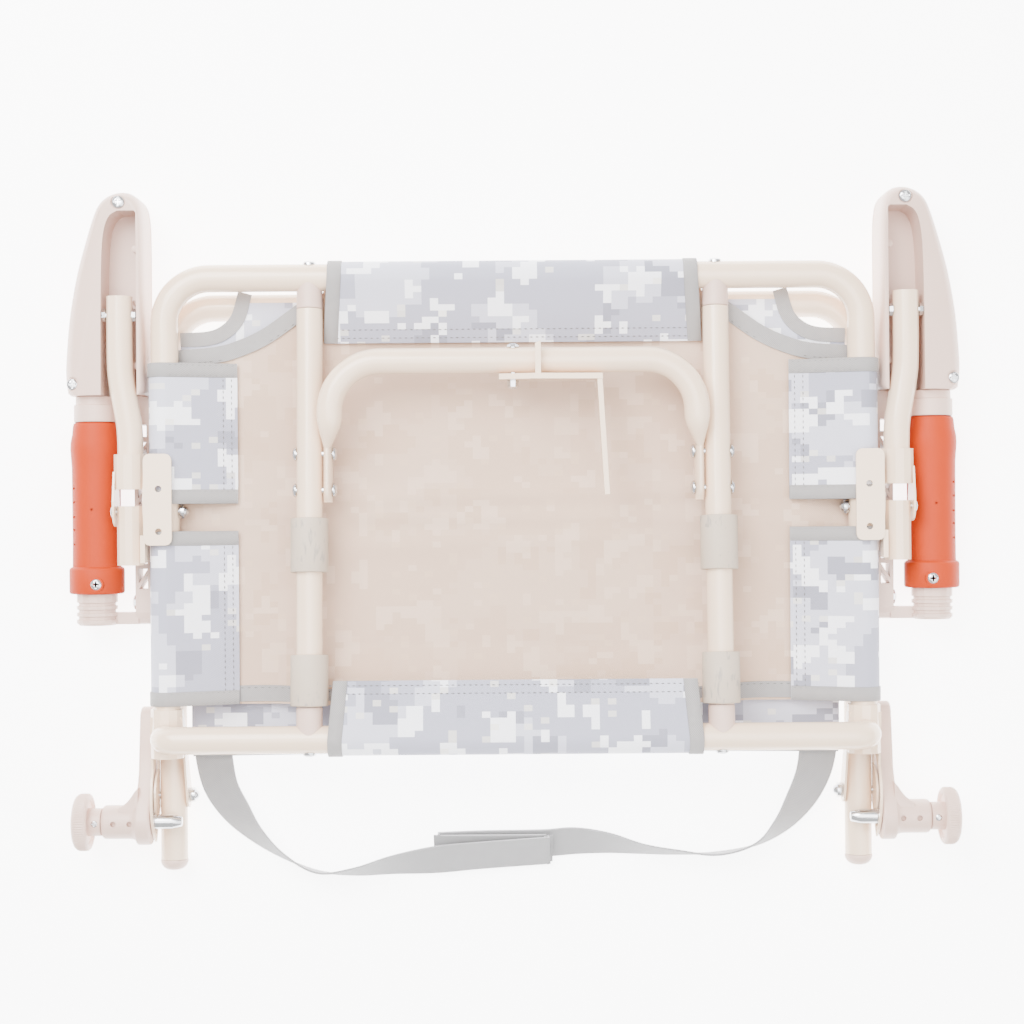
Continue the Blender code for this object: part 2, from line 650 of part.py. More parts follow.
def plunger_arm(side):
    """The plate bolted to a back tube, with the round housing of the recline pin."""
    pin = (PIN_Y, BACK_Z + PIN_Z)
    far = 0.0622
    outline = arc((far, BACK_Z), 0.0104, -pi / 2, pi / 2 - 0.3, 6)
    outline += [(0.020, BACK_Z + 0.018)]
    outline += arc(pin, 0.0185, radians(75), radians(215), 8)
    outline += arc((0, BACK_Z), 0.0120, radians(215), radians(268), 4)
    name = f"plunger_arm_{SIDE_NAME[side]}"
    body = prism(name, outline, side * PLATE_X, side * PLUNGER_OUT_X, "X", beige_plastic())
    centre = (0, pin[0], pin[1])
    bore, chamber = (PIN_R + GAP) / cos(pi / TURN_SIDES), 0.0088
    end = HOUSING_OUT_X - 0.0030
    start = PLUNGER_OUT_X - 0.004
    housing = turned("housing", [(start, HOUSING_R + 0.003), (PLUNGER_OUT_X + 0.001, HOUSING_R + 0.0022),
                                 (PLUNGER_OUT_X + 0.004, HOUSING_R), (HOUSING_OUT_X - 0.001, HOUSING_R),
                                 (HOUSING_OUT_X, HOUSING_R - 0.001)], centre, (side, 0, 0),
                     beige_plastic(), TURN_SIDES)
    boss_in = SEAT_HALF_W + TUBE_R + GAP
    boss = turned("boss", [(boss_in, 0.0065), (PLATE_X + 0.002, 0.0075)], (0, far, BACK_Z),
                  (side, 0, 0), beige_plastic(), 12)
    join(body, housing, boss)
    stem = 0.0044 / cos(pi / TURN_SIDES)
    hollow = [(PLATE_X - 0.004, bore), (PLUNGER_OUT_X + 0.0035, bore), (PLUNGER_OUT_X + 0.0035, chamber),
              (end, chamber), (end, stem), (HOUSING_OUT_X + 0.004, stem)]
    cut(body, turned("hollow", hollow, centre, (side, 0, 0), beige_plastic(), TURN_SIDES))
    return drill(body, (1, 0, 0), (side * PLATE_X, 0, BACK_Z), BOLT_HOLE_R, 4 * PLUNGER_T)


def plunger_pin(side):
    """The sprung recline pin: a chamfered nose, a collar for the spring and a stem to the knob."""
    collar = PLUNGER_OUT_X + 0.0040
    profile = [(PIN_TIP_X, PIN_R - 0.0022), (PIN_TIP_X + 0.0022, PIN_R), (collar - GAP, PIN_R),
               (collar - GAP + 0.0002, 0.0080), (collar + 0.0012, 0.0080), (collar + 0.0012, 0.0040),
               (KNOB_IN_X + 0.0040, 0.0040)]
    return turned(f"plunger_pin_{SIDE_NAME[side]}", profile, (0, PIN_Y, BACK_Z + PIN_Z),
                  (side, 0, 0), zinc(), TURN_SIDES)


def plunger_knob(side):
    """The round knob and its neck, on the outer end of the pin's stem."""
    neck_in = HOUSING_OUT_X + GAP
    blind = KNOB_IN_X + 0.0043
    out = KNOB_IN_X + KNOB_T
    profile = [(blind, 0.0001), (blind, 0.0043), (neck_in, 0.0043), (neck_in, 0.0112),
               (KNOB_IN_X, 0.0112), (KNOB_IN_X, KNOB_R - 0.0015), (KNOB_IN_X + 0.0015, KNOB_R),
               (out - 0.0025, KNOB_R), (out, KNOB_R - 0.0030)]
    return turned(f"plunger_knob_{SIDE_NAME[side]}", profile, (0, PIN_Y, BACK_Z + PIN_Z),
                  (side, 0, 0), beige_plastic(), 24)


def plunger_spring(side):
    low = PLUNGER_OUT_X + 0.0040 + 0.0012 + GAP + SPRING_WIRE
    high = HOUSING_OUT_X - 0.0030 - GAP - SPRING_WIRE
    steps, r = 8 * SPRING_TURNS, 0.0064
    pts = []
    for k in range(steps + 1):
        a = 2 * pi * SPRING_TURNS * k / steps
        pts.append((side * (low + (high - low) * k / steps), PIN_Y + r * cos(a),
                    BACK_Z + PIN_Z + r * sin(a)))
    return tube(f"plunger_spring_{SIDE_NAME[side]}", pts, SPRING_WIRE, zinc(), sides=5)


# ---- arms -----------------------------------------------------------------------------------
def armrest_outline(side):
    """The armrest from below: broad at the grip, drawn in along its outer edge to a round tip."""
    x0, x1 = SHELL_INNER_X, SHELL_INNER_X + SHELL_W
    y0, y1 = SHELL_START, SHELL_TIP
    pts = [(x0, y0), (x1 - 0.002, y0), (x1, y0 + 0.012), (x1, y0 + 0.030), (x1 - 0.003, y0 + 0.062),
           (x1 - 0.0085, y1 - 0.072), (x1 - 0.0155, y1 - 0.046), (x1 - 0.0245, y1 - 0.018),
           (x1 - 0.0310, y1 - 0.0075), (x1 - 0.0410, y1 - 0.0012), (x1 - 0.0510, y1),
           (x0 + 0.0070, y1 - 0.0040), (x0 + 0.0015, y1 - 0.0140), (x0, y1 - 0.0300)]
    return [(side * x, y) for x, y in pts]


def armrest_cover(side):
    obj = prism(f"armrest_cover_{SIDE_NAME[side]}", armrest_outline(side), 0, COVER_T, "Z",
                beige_plastic(), smooth=True)
    bm = bmesh.new()
    bm.from_mesh(obj.data)
    low = [e for e in bm.edges if all(v.co.z < 0.0001 for v in e.verts)]
    bmesh.ops.bevel(bm, geom=low, offset=0.006, segments=3, affect="EDGES", profile=0.5)
    bm.to_mesh(obj.data)
    bm.free()
    return obj


def armrest_shell(side):
    """The armrest's hollow underside, with the long slot that the brace folds into."""
    obj = prism(f"armrest_shell_{SIDE_NAME[side]}", armrest_outline(side), COVER_T + GAP, SHELL_TOP,
                "Z", beige_plastic(), smooth=True)
    bm = bmesh.new()
    bm.from_mesh(obj.data)
    top = [e for e in bm.edges if all(v.co.z > SHELL_TOP - 0.0001 for v in e.verts)]
    bmesh.ops.bevel(bm, geom=top, offset=0.004, segments=2, affect="EDGES", profile=0.5)
    bm.to_mesh(obj.data)
    bm.free()
    floor = COVER_T + GAP + SHELL_FLOOR
    x0, x1 = BRACE_TOP_X - SLOT_HALF_W, BRACE_TOP_X + SLOT_HALF_W
    end = SHELL_TIP - 0.016
    slot = [(x0, SHELL_START - 0.01), (x1, SHELL_START - 0.01), (x1, end - 0.030), (x1 - 0.006, end),
            (x0 + 0.006, end), (x0, end - 0.006)]
    return cut(obj, prism("slot", [(side * x, y) for x, y in slot], floor, SHELL_TOP + 0.01, "Z",
                          beige_plastic()))


def grip_piece(name, side, start, profile, mat, sides=TURN_SIDES):
    return turned(f"{name}_{SIDE_NAME[side]}", profile, (side * ARM_TUBE_X, start, ARM_TUBE_Z),
                  (0, 1, 0), mat, sides)


def arm_grip(side):
    """The soft grip with its collar at the lower end, in one piece."""
    low = COLLAR_START
    profile = [(0, COLLAR_R - 0.0015), (0.0015, COLLAR_R), (GRIP_START - low - 0.001, COLLAR_R),
               (GRIP_START - low, GRIP_R), (GRIP_END - low - 0.028, GRIP_R),
               (GRIP_END - low - 0.021, GRIP_R + 0.0012), (GRIP_END - low - 0.014, GRIP_R),
               (GRIP_END - low, GRIP_R - 0.0010)]
    return grip_piece("arm_grip", side, low, profile, orange_rubber())


def arm_ring(side):
    low = GRIP_END + GAP
    high = SHELL_START - GAP - low
    profile = [(0, RING_R - 0.002), (0.0022, RING_R - 0.0015), (0.0026, RING_R), (0.0135, RING_R),
               (0.0140, RING_R - 0.0015), (high, RING_R - 0.0015)]
    return grip_piece("arm_ring", side, low, profile, beige_plastic())


def arm_rail(side):
    """The moulded truss beside the grip, and the ribbed base that carries the grip."""
    x0, x1 = RAIL_INNER_X, RAIL_OUTER_X
    z0, z1 = BACK_Z - RAIL_BAR_H / 2, BACK_Z + RAIL_BAR_H / 2
    name = f"arm_rail_{SIDE_NAME[side]}"
    end = SHELL_START - GAP
    outline = arc((ARM_LOW + 0.010, BACK_Z), RAIL_BAR_H / 2 - 0.002, pi / 2, 3 * pi / 2, 6)
    outline += [(end, z0), (end, z1)]
    body = prism(name, outline, side * x0, side * x1, "X", beige_plastic())
    base_end = COLLAR_START - GAP
    ribs = [(ARM_LOW, BASE_R - 0.002), (ARM_LOW + 0.0020, BASE_R)]
    pitch = 0.0056
    for k in range(3):
        y = ARM_LOW + 0.0045 + k * pitch
        ribs += [(y, BASE_R), (y + 0.0005, BASE_R - 0.0015), (y + 0.0025, BASE_R - 0.0015),
                 (y + 0.0030, BASE_R)]
    ribs += [(base_end, BASE_R)]
    base = turned("base", ribs, (side * ARM_TUBE_X, 0, ARM_TUBE_Z), (0, 1, 0), beige_plastic(), TURN_SIDES)
    knuckle = prism("knuckle", [(ARM_LOW + 0.0005, BACK_Z - 0.006), (ARM_LOW + 0.0100, BACK_Z - 0.006),
                                (ARM_LOW + 0.0100, BACK_Z + 0.009), (ARM_LOW + 0.0005, BACK_Z + 0.009)],
                    side * (x1 - 0.002), side * (ARM_TUBE_X - BASE_R + 0.004), "X", beige_plastic())
    join(body, base, knuckle)
    for hole in truss_holes(x0, x1):
        flipped = [(side * x, y) for x, y in hole]
        cut(body, prism("hole", flipped, z0 - 0.002, z1 + 0.002, "Z", beige_plastic()))
    return drill(body, (1, 0, 0), (side * (x0 + x1) / 2, PIVOT_B, BACK_Z), BOLT_HOLE_R, 3 * RAIL_BAR_T)


def truss_holes(x0, x1):
    """Alternating triangles and rectangles along the arm rail, past the pivot bolt."""
    a, b = x0 + 0.0028, x1 - 0.0028
    holes = []
    y = PIVOT_B + 0.011
    while y + 0.034 < SHELL_START:
        holes.append([(a, y), (b, y), (a, y + 0.012)])
        holes.append([(b, y + 0.0045), (b, y + 0.0165), (a, y + 0.0165)])
        holes.append([(a, y + 0.0205), (b, y + 0.0205), (b, y + 0.0305), (a, y + 0.0305)])
        y += 0.0345
    return holes


def brace_tube(side):
    start = BRACE_Y + BRACE_MOUTH + 0.004
    path = [(BRACE_X, start, SEAT_Z), (BRACE_X, start + 0.030, SEAT_Z),
            (BRACE_X + 0.0015, start + 0.045, SEAT_Z), (BRACE_TOP_X - 0.0015, start + 0.085, SEAT_Z),
            (BRACE_TOP_X, start + 0.100, SEAT_Z), (BRACE_TOP_X, JOINT_C_Y + 0.015, SEAT_Z)]
    pts = [(side * x, y, z) for x, y, z in path]
    obj = tube(f"brace_tube_{SIDE_NAME[side]}", pts, BRACE_R, cream_paint(), TUBE_WALL)
    return drill(obj, (1, 0, 0), (side * BRACE_TOP_X, JOINT_C_Y, SEAT_Z), BOLT_HOLE_R, 3 * BRACE_R)


def joint_pin(side):
    """The pin through a brace's upper end, held in the armrest's slot with clearance."""
    half = SLOT_HALF_W - 0.0010
    x = BRACE_TOP_X
    profile = [(x - half, 0.0052), (x - BRACE_R - GAP, 0.0056), (x - BRACE_R - GAP, BOLT_R),
               (x + BRACE_R + GAP, BOLT_R), (x + BRACE_R + GAP, 0.0056), (x + half, 0.0052)]
    return turned(f"brace_pin_{SIDE_NAME[side]}", profile, (0, JOINT_C_Y, SEAT_Z), (side, 0, 0),
                  zinc(), BOLT_SIDES)


def brace_clevis(side):
    bore = BRACE_R + GAP
    name = f"brace_clevis_{SIDE_NAME[side]}"
    start = BRACE_Y + BRACE_MOUTH
    body = sleeve(name, start, BRACE_CLEVIS_L, bore, SLEEVE_R, (side * BRACE_X, 0, SEAT_Z),
                  (0, 1, 0), cream_paint())
    pivot = (BRACE_Y, SEAT_Z)
    ears = []
    for way in (-1, 1):
        outline = arc(pivot, EAR_R, pi / 2, 3 * pi / 2, 10)
        outline += [(BRACE_Y + 0.008, SEAT_Z - EAR_R), (start + 0.014, SEAT_Z - 0.007),
                    (start + 0.014, SEAT_Z + 0.007), (BRACE_Y + 0.008, SEAT_Z + EAR_R)]
        low = BRACE_X + way * SLEEVE_BORE
        high = BRACE_X + way * (SLEEVE_R - 0.0002)
        ears.append(prism("ear", outline, side * low, side * high, "X", cream_paint()))
    join(body, *ears)
    return drill(body, (1, 0, 0), (side * BRACE_X, BRACE_Y, SEAT_Z), BOLT_HOLE_R, 4 * TUBE_R)


# ---- soft pieces ----------------------------------------------------------------------------
def wrap_profile(tube_at, axis_z, sheet_z, reach):
    """A cloth flap's section: from the sheet, round a tube, and on a tangent back to the sheet."""
    r = TUBE_R + CLOTH_PLAY
    t = CLOTH_T * 0.8
    lift = 1 if sheet_z < axis_z else -1
    drop = -FLAP_DROP
    leave = atan2(drop, -reach) % (2 * pi) - acos(r / hypot(reach, drop))
    angles = [-pi / 2 + (leave + pi / 2) * k / 7 for k in range(8)]
    inside = [(tube_at + r * cos(a), axis_z + lift * r * sin(a)) for a in angles]
    outside = [(tube_at + (r + t) * cos(a), axis_z + lift * (r + t) * sin(a)) for a in angles]
    end = [(tube_at - reach, axis_z + lift * drop), (tube_at - reach, axis_z + lift * (drop + t))]
    root = tube_at - 0.020
    return [(root, inside[0][1])] + inside + end + outside[::-1] + [(root, outside[0][1])]


def side_flap(side, y0, y1, axis_z, sheet_z, reach):
    section = wrap_profile(SEAT_HALF_W, axis_z, sheet_z, reach)
    outline = [(side * x, z) for x, z in section]
    return prism("flap", outline, y0, y1, "Y", sling_cloth(), smooth=True)


def cloth_sheet(name, outline, z):
    return prism(name, outline, z, z + CLOTH_T, "Z", sling_cloth())


def seat_sling():
    """The seat cloth: a sheet under the tubes with flaps round the side, front and rear tubes."""
    x0, x1 = SEAT_HALF_W - 0.004, SEAT_HALF_W - 0.020
    z = SEAT_Z - TUBE_R - CLOTH_PLAY - 0.9 * CLOTH_T
    front = SEAT_DEPTH - 0.004
    half = [(x0, SHEET_REAR), (x0, SEAT_FLAPS[-1][1]), (x1 - 0.006, 0.385),
            (FRONT_WRAP_HALF_W + 0.02, front - 0.02), (FRONT_WRAP_HALF_W - 0.001, front)]
    outline = [(REAR_WRAP_HALF_W - 0.001, SHEET_REAR)] + half
    outline += [(-x, y) for x, y in reversed(outline)]
    body = cloth_sheet("seat_sling", outline, z)
    for side in (LEFT, RIGHT):
        for y0, y1 in SEAT_FLAPS:
            join(body, side_flap(side, y0, y1, SEAT_Z, z, SEAT_FLAP))
    section = wrap_profile(SEAT_DEPTH, SEAT_Z, z, FRONT_FLAP)
    join(body, prism("front", section, -FRONT_WRAP_HALF_W, FRONT_WRAP_HALF_W, "X", sling_cloth(), smooth=True))
    section = rear_section(z, REAR_CLIMB)
    join(body, prism("rear", section, -REAR_WRAP_HALF_W, REAR_WRAP_HALF_W, "X", sling_cloth(), smooth=True))
    return body


def rear_section(sheet_z, join_y):
    """The rear flap climbs from the sheet, goes round the rear cross tube and comes back."""
    r, t = TUBE_R + CLOTH_PLAY, CLOTH_T * 0.8
    y, z = REAR_TUBE_Y, REAR_TUBE_Z
    angles = [radians(a) for a in (-90, -125, -160, -195, -230, -265)]
    inside = [(y + r * cos(a), z + r * sin(a)) for a in angles]
    outside = [(y + (r + t) * cos(a), z + (r + t) * sin(a)) for a in angles]
    start = (join_y, sheet_z + 0.0002)
    under = [start, (join_y - 0.020, sheet_z + 0.0002)]
    over = [(join_y - 0.020, sheet_z + 0.0018), (join_y, sheet_z + 0.0018)]
    end = [(REAR_WRAP_END, z + 0.0010), (REAR_WRAP_END, z + 0.0010 + t)]
    return under + outside + end[::-1] + inside[::-1] + over


def back_sling():
    """The back cloth: a sheet above the back's tubes with flaps round the side tubes."""
    x0 = SEAT_HALF_W - 0.004
    z = BACK_Z + TUBE_R + CLOTH_PLAY - 0.1 * CLOTH_T
    half = [(x0 - 0.012, BACK_SHEET_LOW), (x0 - 0.012, 0.088), (x0, 0.088), (x0, 0.345), (x0 - 0.022, 0.385),
            (0.215, BACK_HEIGHT)]
    outline = half + [(-x, y) for x, y in reversed(half)]
    body = cloth_sheet("back_sling", outline, z)
    for side in (LEFT, RIGHT):
        for y0, y1 in BACK_FLAPS:
            join(body, side_flap(side, y0, y1, BACK_Z, z, BACK_FLAP))
    return body


def carry_strap():
    """A webbing strap under the back cloth's hem at both ends, which falls to the ground between."""
    hem = BACK_Z + TUBE_R + CLOTH_PLAY - 0.1 * CLOTH_T - GAP - STRAP_T
    ground = GAP
    half = [(-0.2420, 0.046, hem), (-0.2420, 0.031, hem), (-0.2395, 0.010, hem - 0.006),
            (-0.2330, -0.010, 0.0080), (-0.2190, -0.028, 0.0020), (-0.1960, -0.0425, ground),
            (-0.1600, -0.0525, ground), (-0.1100, -0.0545, ground), (-0.0500, -0.0535, ground)]
    bend = [(0.0100, -0.0495, ground), (0.0700, -0.0500, ground)]
    route = half + bend + [(-x, y + 0.002, z) for x, y, z in reversed(half[:-1])]
    rows = []
    for k, (x, y, z) in enumerate(route):
        before, after = route[max(k - 1, 0)], route[min(k + 1, len(route) - 1)]
        way = Vector((after[0] - before[0], after[1] - before[1])).normalized()
        across = Vector((way.y, -way.x)) * (STRAP_W / 2)
        edges = (Vector((x, y)) + across, Vector((x, y)) - across)
        rows.append([(edges[0].x, edges[0].y, z), (edges[1].x, edges[1].y, z),
                     (edges[1].x, edges[1].y, z + STRAP_T), (edges[0].x, edges[0].y, z + STRAP_T)])
    return ring_loft("carry_strap", rows, webbing())


# ---- assembly -------------------------------------------------------------------------------
def centre_on_floor(root):
    """Move the whole chair so that its box stands on z = 0, centred on x = y = 0."""
    bpy.context.view_layer.update()
    points = []
    for obj in bpy.data.objects:
        if obj.type == "MESH":
            points += [obj.matrix_world @ v.co for v in obj.data.vertices]
    low = Vector([min(p[i] for p in points) for i in range(3)])
    high = Vector([max(p[i] for p in points) for i in range(3)])
    root.location -= Vector(((low.x + high.x) / 2, (low.y + high.y) / 2, low.z))
    bpy.context.view_layer.update()


def build_seat(root):
    hang(root, seat_frame(), rear_cross_tube(), bench_frame(), hook_rivet(), seat_sling())
    for side in (LEFT, RIGHT):
        hang(root, seat_rail(side), seat_clevis(side), arm_bracket(side), brace_pivot_bolt(side),
             bench_rivet(side, 0), bench_rivet(side, 1))
        hang(root, *saddle_plugs(side), *rail_sleeves(side))
    hook_axis = axis_empty("hook_axis", (0, BENCH_FRONT, BENCH_Z), root)
    hang(hook_axis, bench_hook())


def build_back(root):
    back_axis = axis_empty("back_axis", (0, 0, BACK_Z), root)
    hang(back_axis, back_frame(), back_sling(), carry_strap())
    for side in (LEFT, RIGHT):
        word = SIDE_NAME[side]
        hang(back_axis, back_end_cap(side), plunger_arm(side), back_pivot_bolt(side),
             arm_pivot_bolt(side), plunger_spring(side))
        pin_axis = axis_empty(f"plunger_axis_{word}", (side * PLATE_X, PIN_Y, BACK_Z + PIN_Z), back_axis)
        hang(pin_axis, plunger_pin(side), plunger_knob(side))
        arm_axis = axis_empty(f"arm_axis_{word}", (side * RAIL_INNER_X, PIVOT_B, BACK_Z), back_axis)
        hang(arm_axis, armrest_cover(side), armrest_shell(side), arm_grip(side), arm_ring(side),
             arm_rail(side))
        brace_axis = axis_empty(f"brace_axis_{word}", (side * BRACE_X, BRACE_Y, SEAT_Z), root)
        hang(brace_axis, brace_tube(side), brace_clevis(side), joint_pin(side))


def build():
    for obj in list(bpy.data.objects):
        bpy.data.objects.remove(obj)
    root = axis_empty("chair", (0, 0, 0))
    build_seat(root)
    build_back(root)
    centre_on_floor(root)


build()
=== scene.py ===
"""The looks of a legless folding armchair that lies folded with its seat's underside up.

Every piece is built in metres: +X to the right, +Y to the seat's front tube, +Z up. The pivot
line's place comes from the frame. The other sizes are fields of the classes below.
"""

from __future__ import annotations

import json
import logging
from dataclasses import dataclass
from enum import Enum
from math import acos, atan2, cos, exp, hypot, pi, radians, sin, sqrt
from typing import Callable, Sequence

import bmesh
import bpy
from mathutils import Matrix, Vector, noise

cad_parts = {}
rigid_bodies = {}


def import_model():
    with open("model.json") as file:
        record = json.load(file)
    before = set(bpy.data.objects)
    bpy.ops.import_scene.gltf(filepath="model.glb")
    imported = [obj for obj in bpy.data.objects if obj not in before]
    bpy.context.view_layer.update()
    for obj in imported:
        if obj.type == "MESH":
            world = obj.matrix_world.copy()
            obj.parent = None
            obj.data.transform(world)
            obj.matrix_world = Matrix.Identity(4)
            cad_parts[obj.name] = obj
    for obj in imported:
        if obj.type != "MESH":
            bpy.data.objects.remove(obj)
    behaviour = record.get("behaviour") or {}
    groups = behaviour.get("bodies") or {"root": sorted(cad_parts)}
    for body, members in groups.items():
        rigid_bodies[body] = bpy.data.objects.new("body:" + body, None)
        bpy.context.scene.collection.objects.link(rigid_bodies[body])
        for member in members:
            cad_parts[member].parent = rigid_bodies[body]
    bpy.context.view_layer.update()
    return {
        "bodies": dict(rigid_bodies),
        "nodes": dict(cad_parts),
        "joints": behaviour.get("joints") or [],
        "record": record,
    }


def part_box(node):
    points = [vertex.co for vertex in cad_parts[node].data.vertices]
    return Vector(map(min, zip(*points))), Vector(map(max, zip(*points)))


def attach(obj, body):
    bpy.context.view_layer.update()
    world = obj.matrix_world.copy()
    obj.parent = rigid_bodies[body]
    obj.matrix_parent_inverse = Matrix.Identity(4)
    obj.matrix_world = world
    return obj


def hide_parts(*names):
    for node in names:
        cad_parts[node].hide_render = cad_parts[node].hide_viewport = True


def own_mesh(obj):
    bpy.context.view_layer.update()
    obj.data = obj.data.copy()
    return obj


LOG = logging.getLogger("armchair")
Point = Sequence[float]
Object = bpy.types.Object
Material = bpy.types.Material


class Side(Enum):
    """A side of the chair, with the sign of its X."""

    LEFT = -1
    RIGHT = 1

    @property
    def word(self) -> str:
        """The side's name as the nodes have it."""
        return self.name.lower()


class Slot(Enum):
    """The record's material slots."""

    PAINT = "frame_paint"
    PLASTIC = "beige_plastic"
    MATTE = "matte_plastic"
    GRIP = "grip_rubber"
    ZINC = "zinc"
    CLOTH = "sling_cloth"
    WEBBING = "webbing"


# ---- shader node groups ----------------------------------------------------------------------
class GroupBuilder:
    """Builds one shader node group with named inputs and outputs."""

    def __init__(self, name: str, inputs: dict[str, float], outputs: dict[str, str]) -> None:
        """Make the empty group.

        Args:
            name: The group's name.
            inputs: Float inputs with their defaults.
            outputs: Output names with their socket types.
        """
        self.tree = bpy.data.node_groups.new(name, "ShaderNodeTree")
        for label, value in inputs.items():
            socket = self.tree.interface.new_socket(label, in_out="INPUT", socket_type="NodeSocketFloat")
            socket.default_value = value
        for label, kind in outputs.items():
            self.tree.interface.new_socket(label, in_out="OUTPUT", socket_type=kind)
        self.inputs = self.tree.nodes.new("NodeGroupInput")
        self.outputs = self.tree.nodes.new("NodeGroupOutput")

    def node(self, kind: str, **settings: object) -> bpy.types.Node:
        """Add a node with its settings."""
        made = self.tree.nodes.new(kind)
        for key, value in settings.items():
            setattr(made, key, value)
        return made

    def link(self, source: object, target: object) -> None:
        """Join two sockets."""
        self.tree.links.new(source, target)

    def math(self, operation: str, *values: object) -> object:
        """Add a Math node fed by sockets or numbers and return its output."""
        made = self.node("ShaderNodeMath", operation=operation)
        for socket, value in zip(made.inputs, values):
            if isinstance(value, (int, float)):
                socket.default_value = value
            else:
                self.link(value, socket)
        return made.outputs[0]

    def mix(self, factor: object, first: object, second: object) -> object:
        """Add a colour mix and return its result."""
        made = self.node("ShaderNodeMix", data_type="RGBA")
        for socket, value in ((made.inputs[0], factor), (made.inputs[6], first), (made.inputs[7], second)):
            if isinstance(value, tuple):
                socket.default_value = (*value, 1.0)
            elif isinstance(value, (int, float)):
                socket.default_value = value
            else:
                self.link(value, socket)
        return made.outputs[2]

    def noise(self, vector: object, scale: object, detail: float = 2.0) -> object:
        """Add a noise texture and return its value."""
        made = self.node("ShaderNodeTexNoise")
        made.inputs["Detail"].default_value = detail
        self.link(vector, made.inputs["Vector"])
        if isinstance(scale, (int, float)):
            made.inputs["Scale"].default_value = scale
        else:
            self.link(scale, made.inputs["Scale"])
        return made.outputs[0]

    def position(self) -> object:
        """The place on the object, in metres."""
        return self.node("ShaderNodeTexCoord").outputs["Object"]


def grain_group() -> bpy.types.NodeTree:
    """A fine moulded or painted grain: a normal, and a slow mask for colour and gloss."""
    g = GroupBuilder("Grain", {"Scale": 900.0, "Depth": 0.02, "Patch": 20.0},
                     {"Normal": "NodeSocketVector", "Mask": "NodeSocketFloat"})
    place = g.position()
    fine = g.noise(place, g.inputs.outputs["Scale"], 3.0)
    slow = g.noise(place, g.inputs.outputs["Patch"], 4.0)
    bump = g.node("ShaderNodeBump")
    bump.inputs["Distance"].default_value = 0.0006
    g.link(g.inputs.outputs["Depth"], bump.inputs["Strength"])
    g.link(fine, bump.inputs["Height"])
    g.link(bump.outputs[0], g.outputs.inputs["Normal"])
    g.link(slow, g.outputs.inputs["Mask"])
    return g.tree


def weave_group() -> bpy.types.NodeTree:
    """A plain weave: threads across X and Y as a height, with a slow slub in it."""
    g = GroupBuilder("Weave", {"Threads": 1500.0, "Slub": 0.3}, {"Height": "NodeSocketFloat"})
    split = g.node("ShaderNodeSeparateXYZ")
    place = g.position()
    g.link(place, split.inputs[0])
    along = g.math("SINE", g.math("MULTIPLY", split.outputs[0], g.inputs.outputs["Threads"]))
    over = g.math("ADD", split.outputs[1], split.outputs[2])
    across = g.math("SINE", g.math("MULTIPLY", over, g.inputs.outputs["Threads"]))
    woven = g.math("MULTIPLY", along, across)
    slub = g.math("MULTIPLY", g.noise(place, 260.0, 3.0), g.inputs.outputs["Slub"])
    g.link(g.math("ADD", woven, slub), g.outputs.inputs["Height"])
    return g.tree


def camo_group() -> bpy.types.NodeTree:
    """Pale camouflage in upright blocks of one size."""
    g = GroupBuilder("Camouflage", {"Block": 210.0, "Patch": 11.0}, {"Color": "NodeSocketColor"})
    split = g.node("ShaderNodeSeparateXYZ")
    g.link(g.position(), split.inputs[0])
    block = g.inputs.outputs["Block"]
    snapped = []
    for axis, share in ((0, 0.72), (1, 1.0)):
        size = g.math("MULTIPLY", block, share)
        steps = g.math("FLOOR", g.math("MULTIPLY", split.outputs[axis], size))
        snapped.append(g.math("DIVIDE", steps, size))
    join = g.node("ShaderNodeCombineXYZ")
    g.link(snapped[0], join.inputs[0])
    g.link(snapped[1], join.inputs[1])
    place = join.outputs[0]
    patch = g.inputs.outputs["Patch"]
    large = g.noise(place, patch, 3.0)
    medium = g.noise(place, g.math("MULTIPLY", patch, 2.1), 3.0)
    small = g.noise(place, g.math("MULTIPLY", patch, 3.4), 3.0)
    white = g.node("ShaderNodeTexWhiteNoise", noise_dimensions="2D")
    g.link(place, white.inputs["Vector"])
    base = g.mix(g.math("GREATER_THAN", large, 0.50), (0.36, 0.36, 0.44), (0.54, 0.54, 0.63))
    base = g.mix(g.math("GREATER_THAN", medium, 0.585), base, (0.27, 0.27, 0.33))
    base = g.mix(g.math("GREATER_THAN", small, 0.575), base, (0.92, 0.92, 0.97))
    speck = g.math("GREATER_THAN", white.outputs["Value"], 0.965)
    g.link(g.mix(g.math("MULTIPLY", speck, 0.6), base, (0.80, 0.76, 0.68)), g.outputs.inputs["Color"])
    return g.tree


def scuff_group() -> bpy.types.NodeTree:
    """Dark rub marks: streaks across X that come and go."""
    g = GroupBuilder("Scuff", {"Amount": 0.5}, {"Mask": "NodeSocketFloat"})
    stretch = g.node("ShaderNodeMapping")
    stretch.inputs["Scale"].default_value = (5.0, 1.0, 1.0)
    g.link(g.position(), stretch.inputs["Vector"])
    streak = g.noise(stretch.outputs[0], 75.0, 6.0)
    place = g.noise(g.position(), 34.0, 2.0)
    both = g.math("MULTIPLY", g.math("GREATER_THAN", place, 0.50), g.math("SUBTRACT", streak, 0.56))
    sharp = g.node("ShaderNodeClamp")
    g.link(g.math("MULTIPLY", both, 9.0), sharp.inputs["Value"])
    g.link(g.math("MULTIPLY", sharp.outputs[0], g.inputs.outputs["Amount"]), g.outputs.inputs["Mask"])
    return g.tree


class Effects:
    """The shared node groups, built once."""

    def __init__(self) -> None:
        """Build every group."""
        self.grain = grain_group()
        self.weave = weave_group()
        self.camo = camo_group()
        self.scuff = scuff_group()


# ---- finishes --------------------------------------------------------------------------------
def add_group(mat: Material, tree: bpy.types.NodeTree, **values: float) -> bpy.types.Node:
    """Place a shared node group in a material, with the material's own values."""
    node = mat.node_tree.nodes.new("ShaderNodeGroup")
    node.node_tree = tree
    for name, value in values.items():
        node.inputs[name].default_value = value
    return node


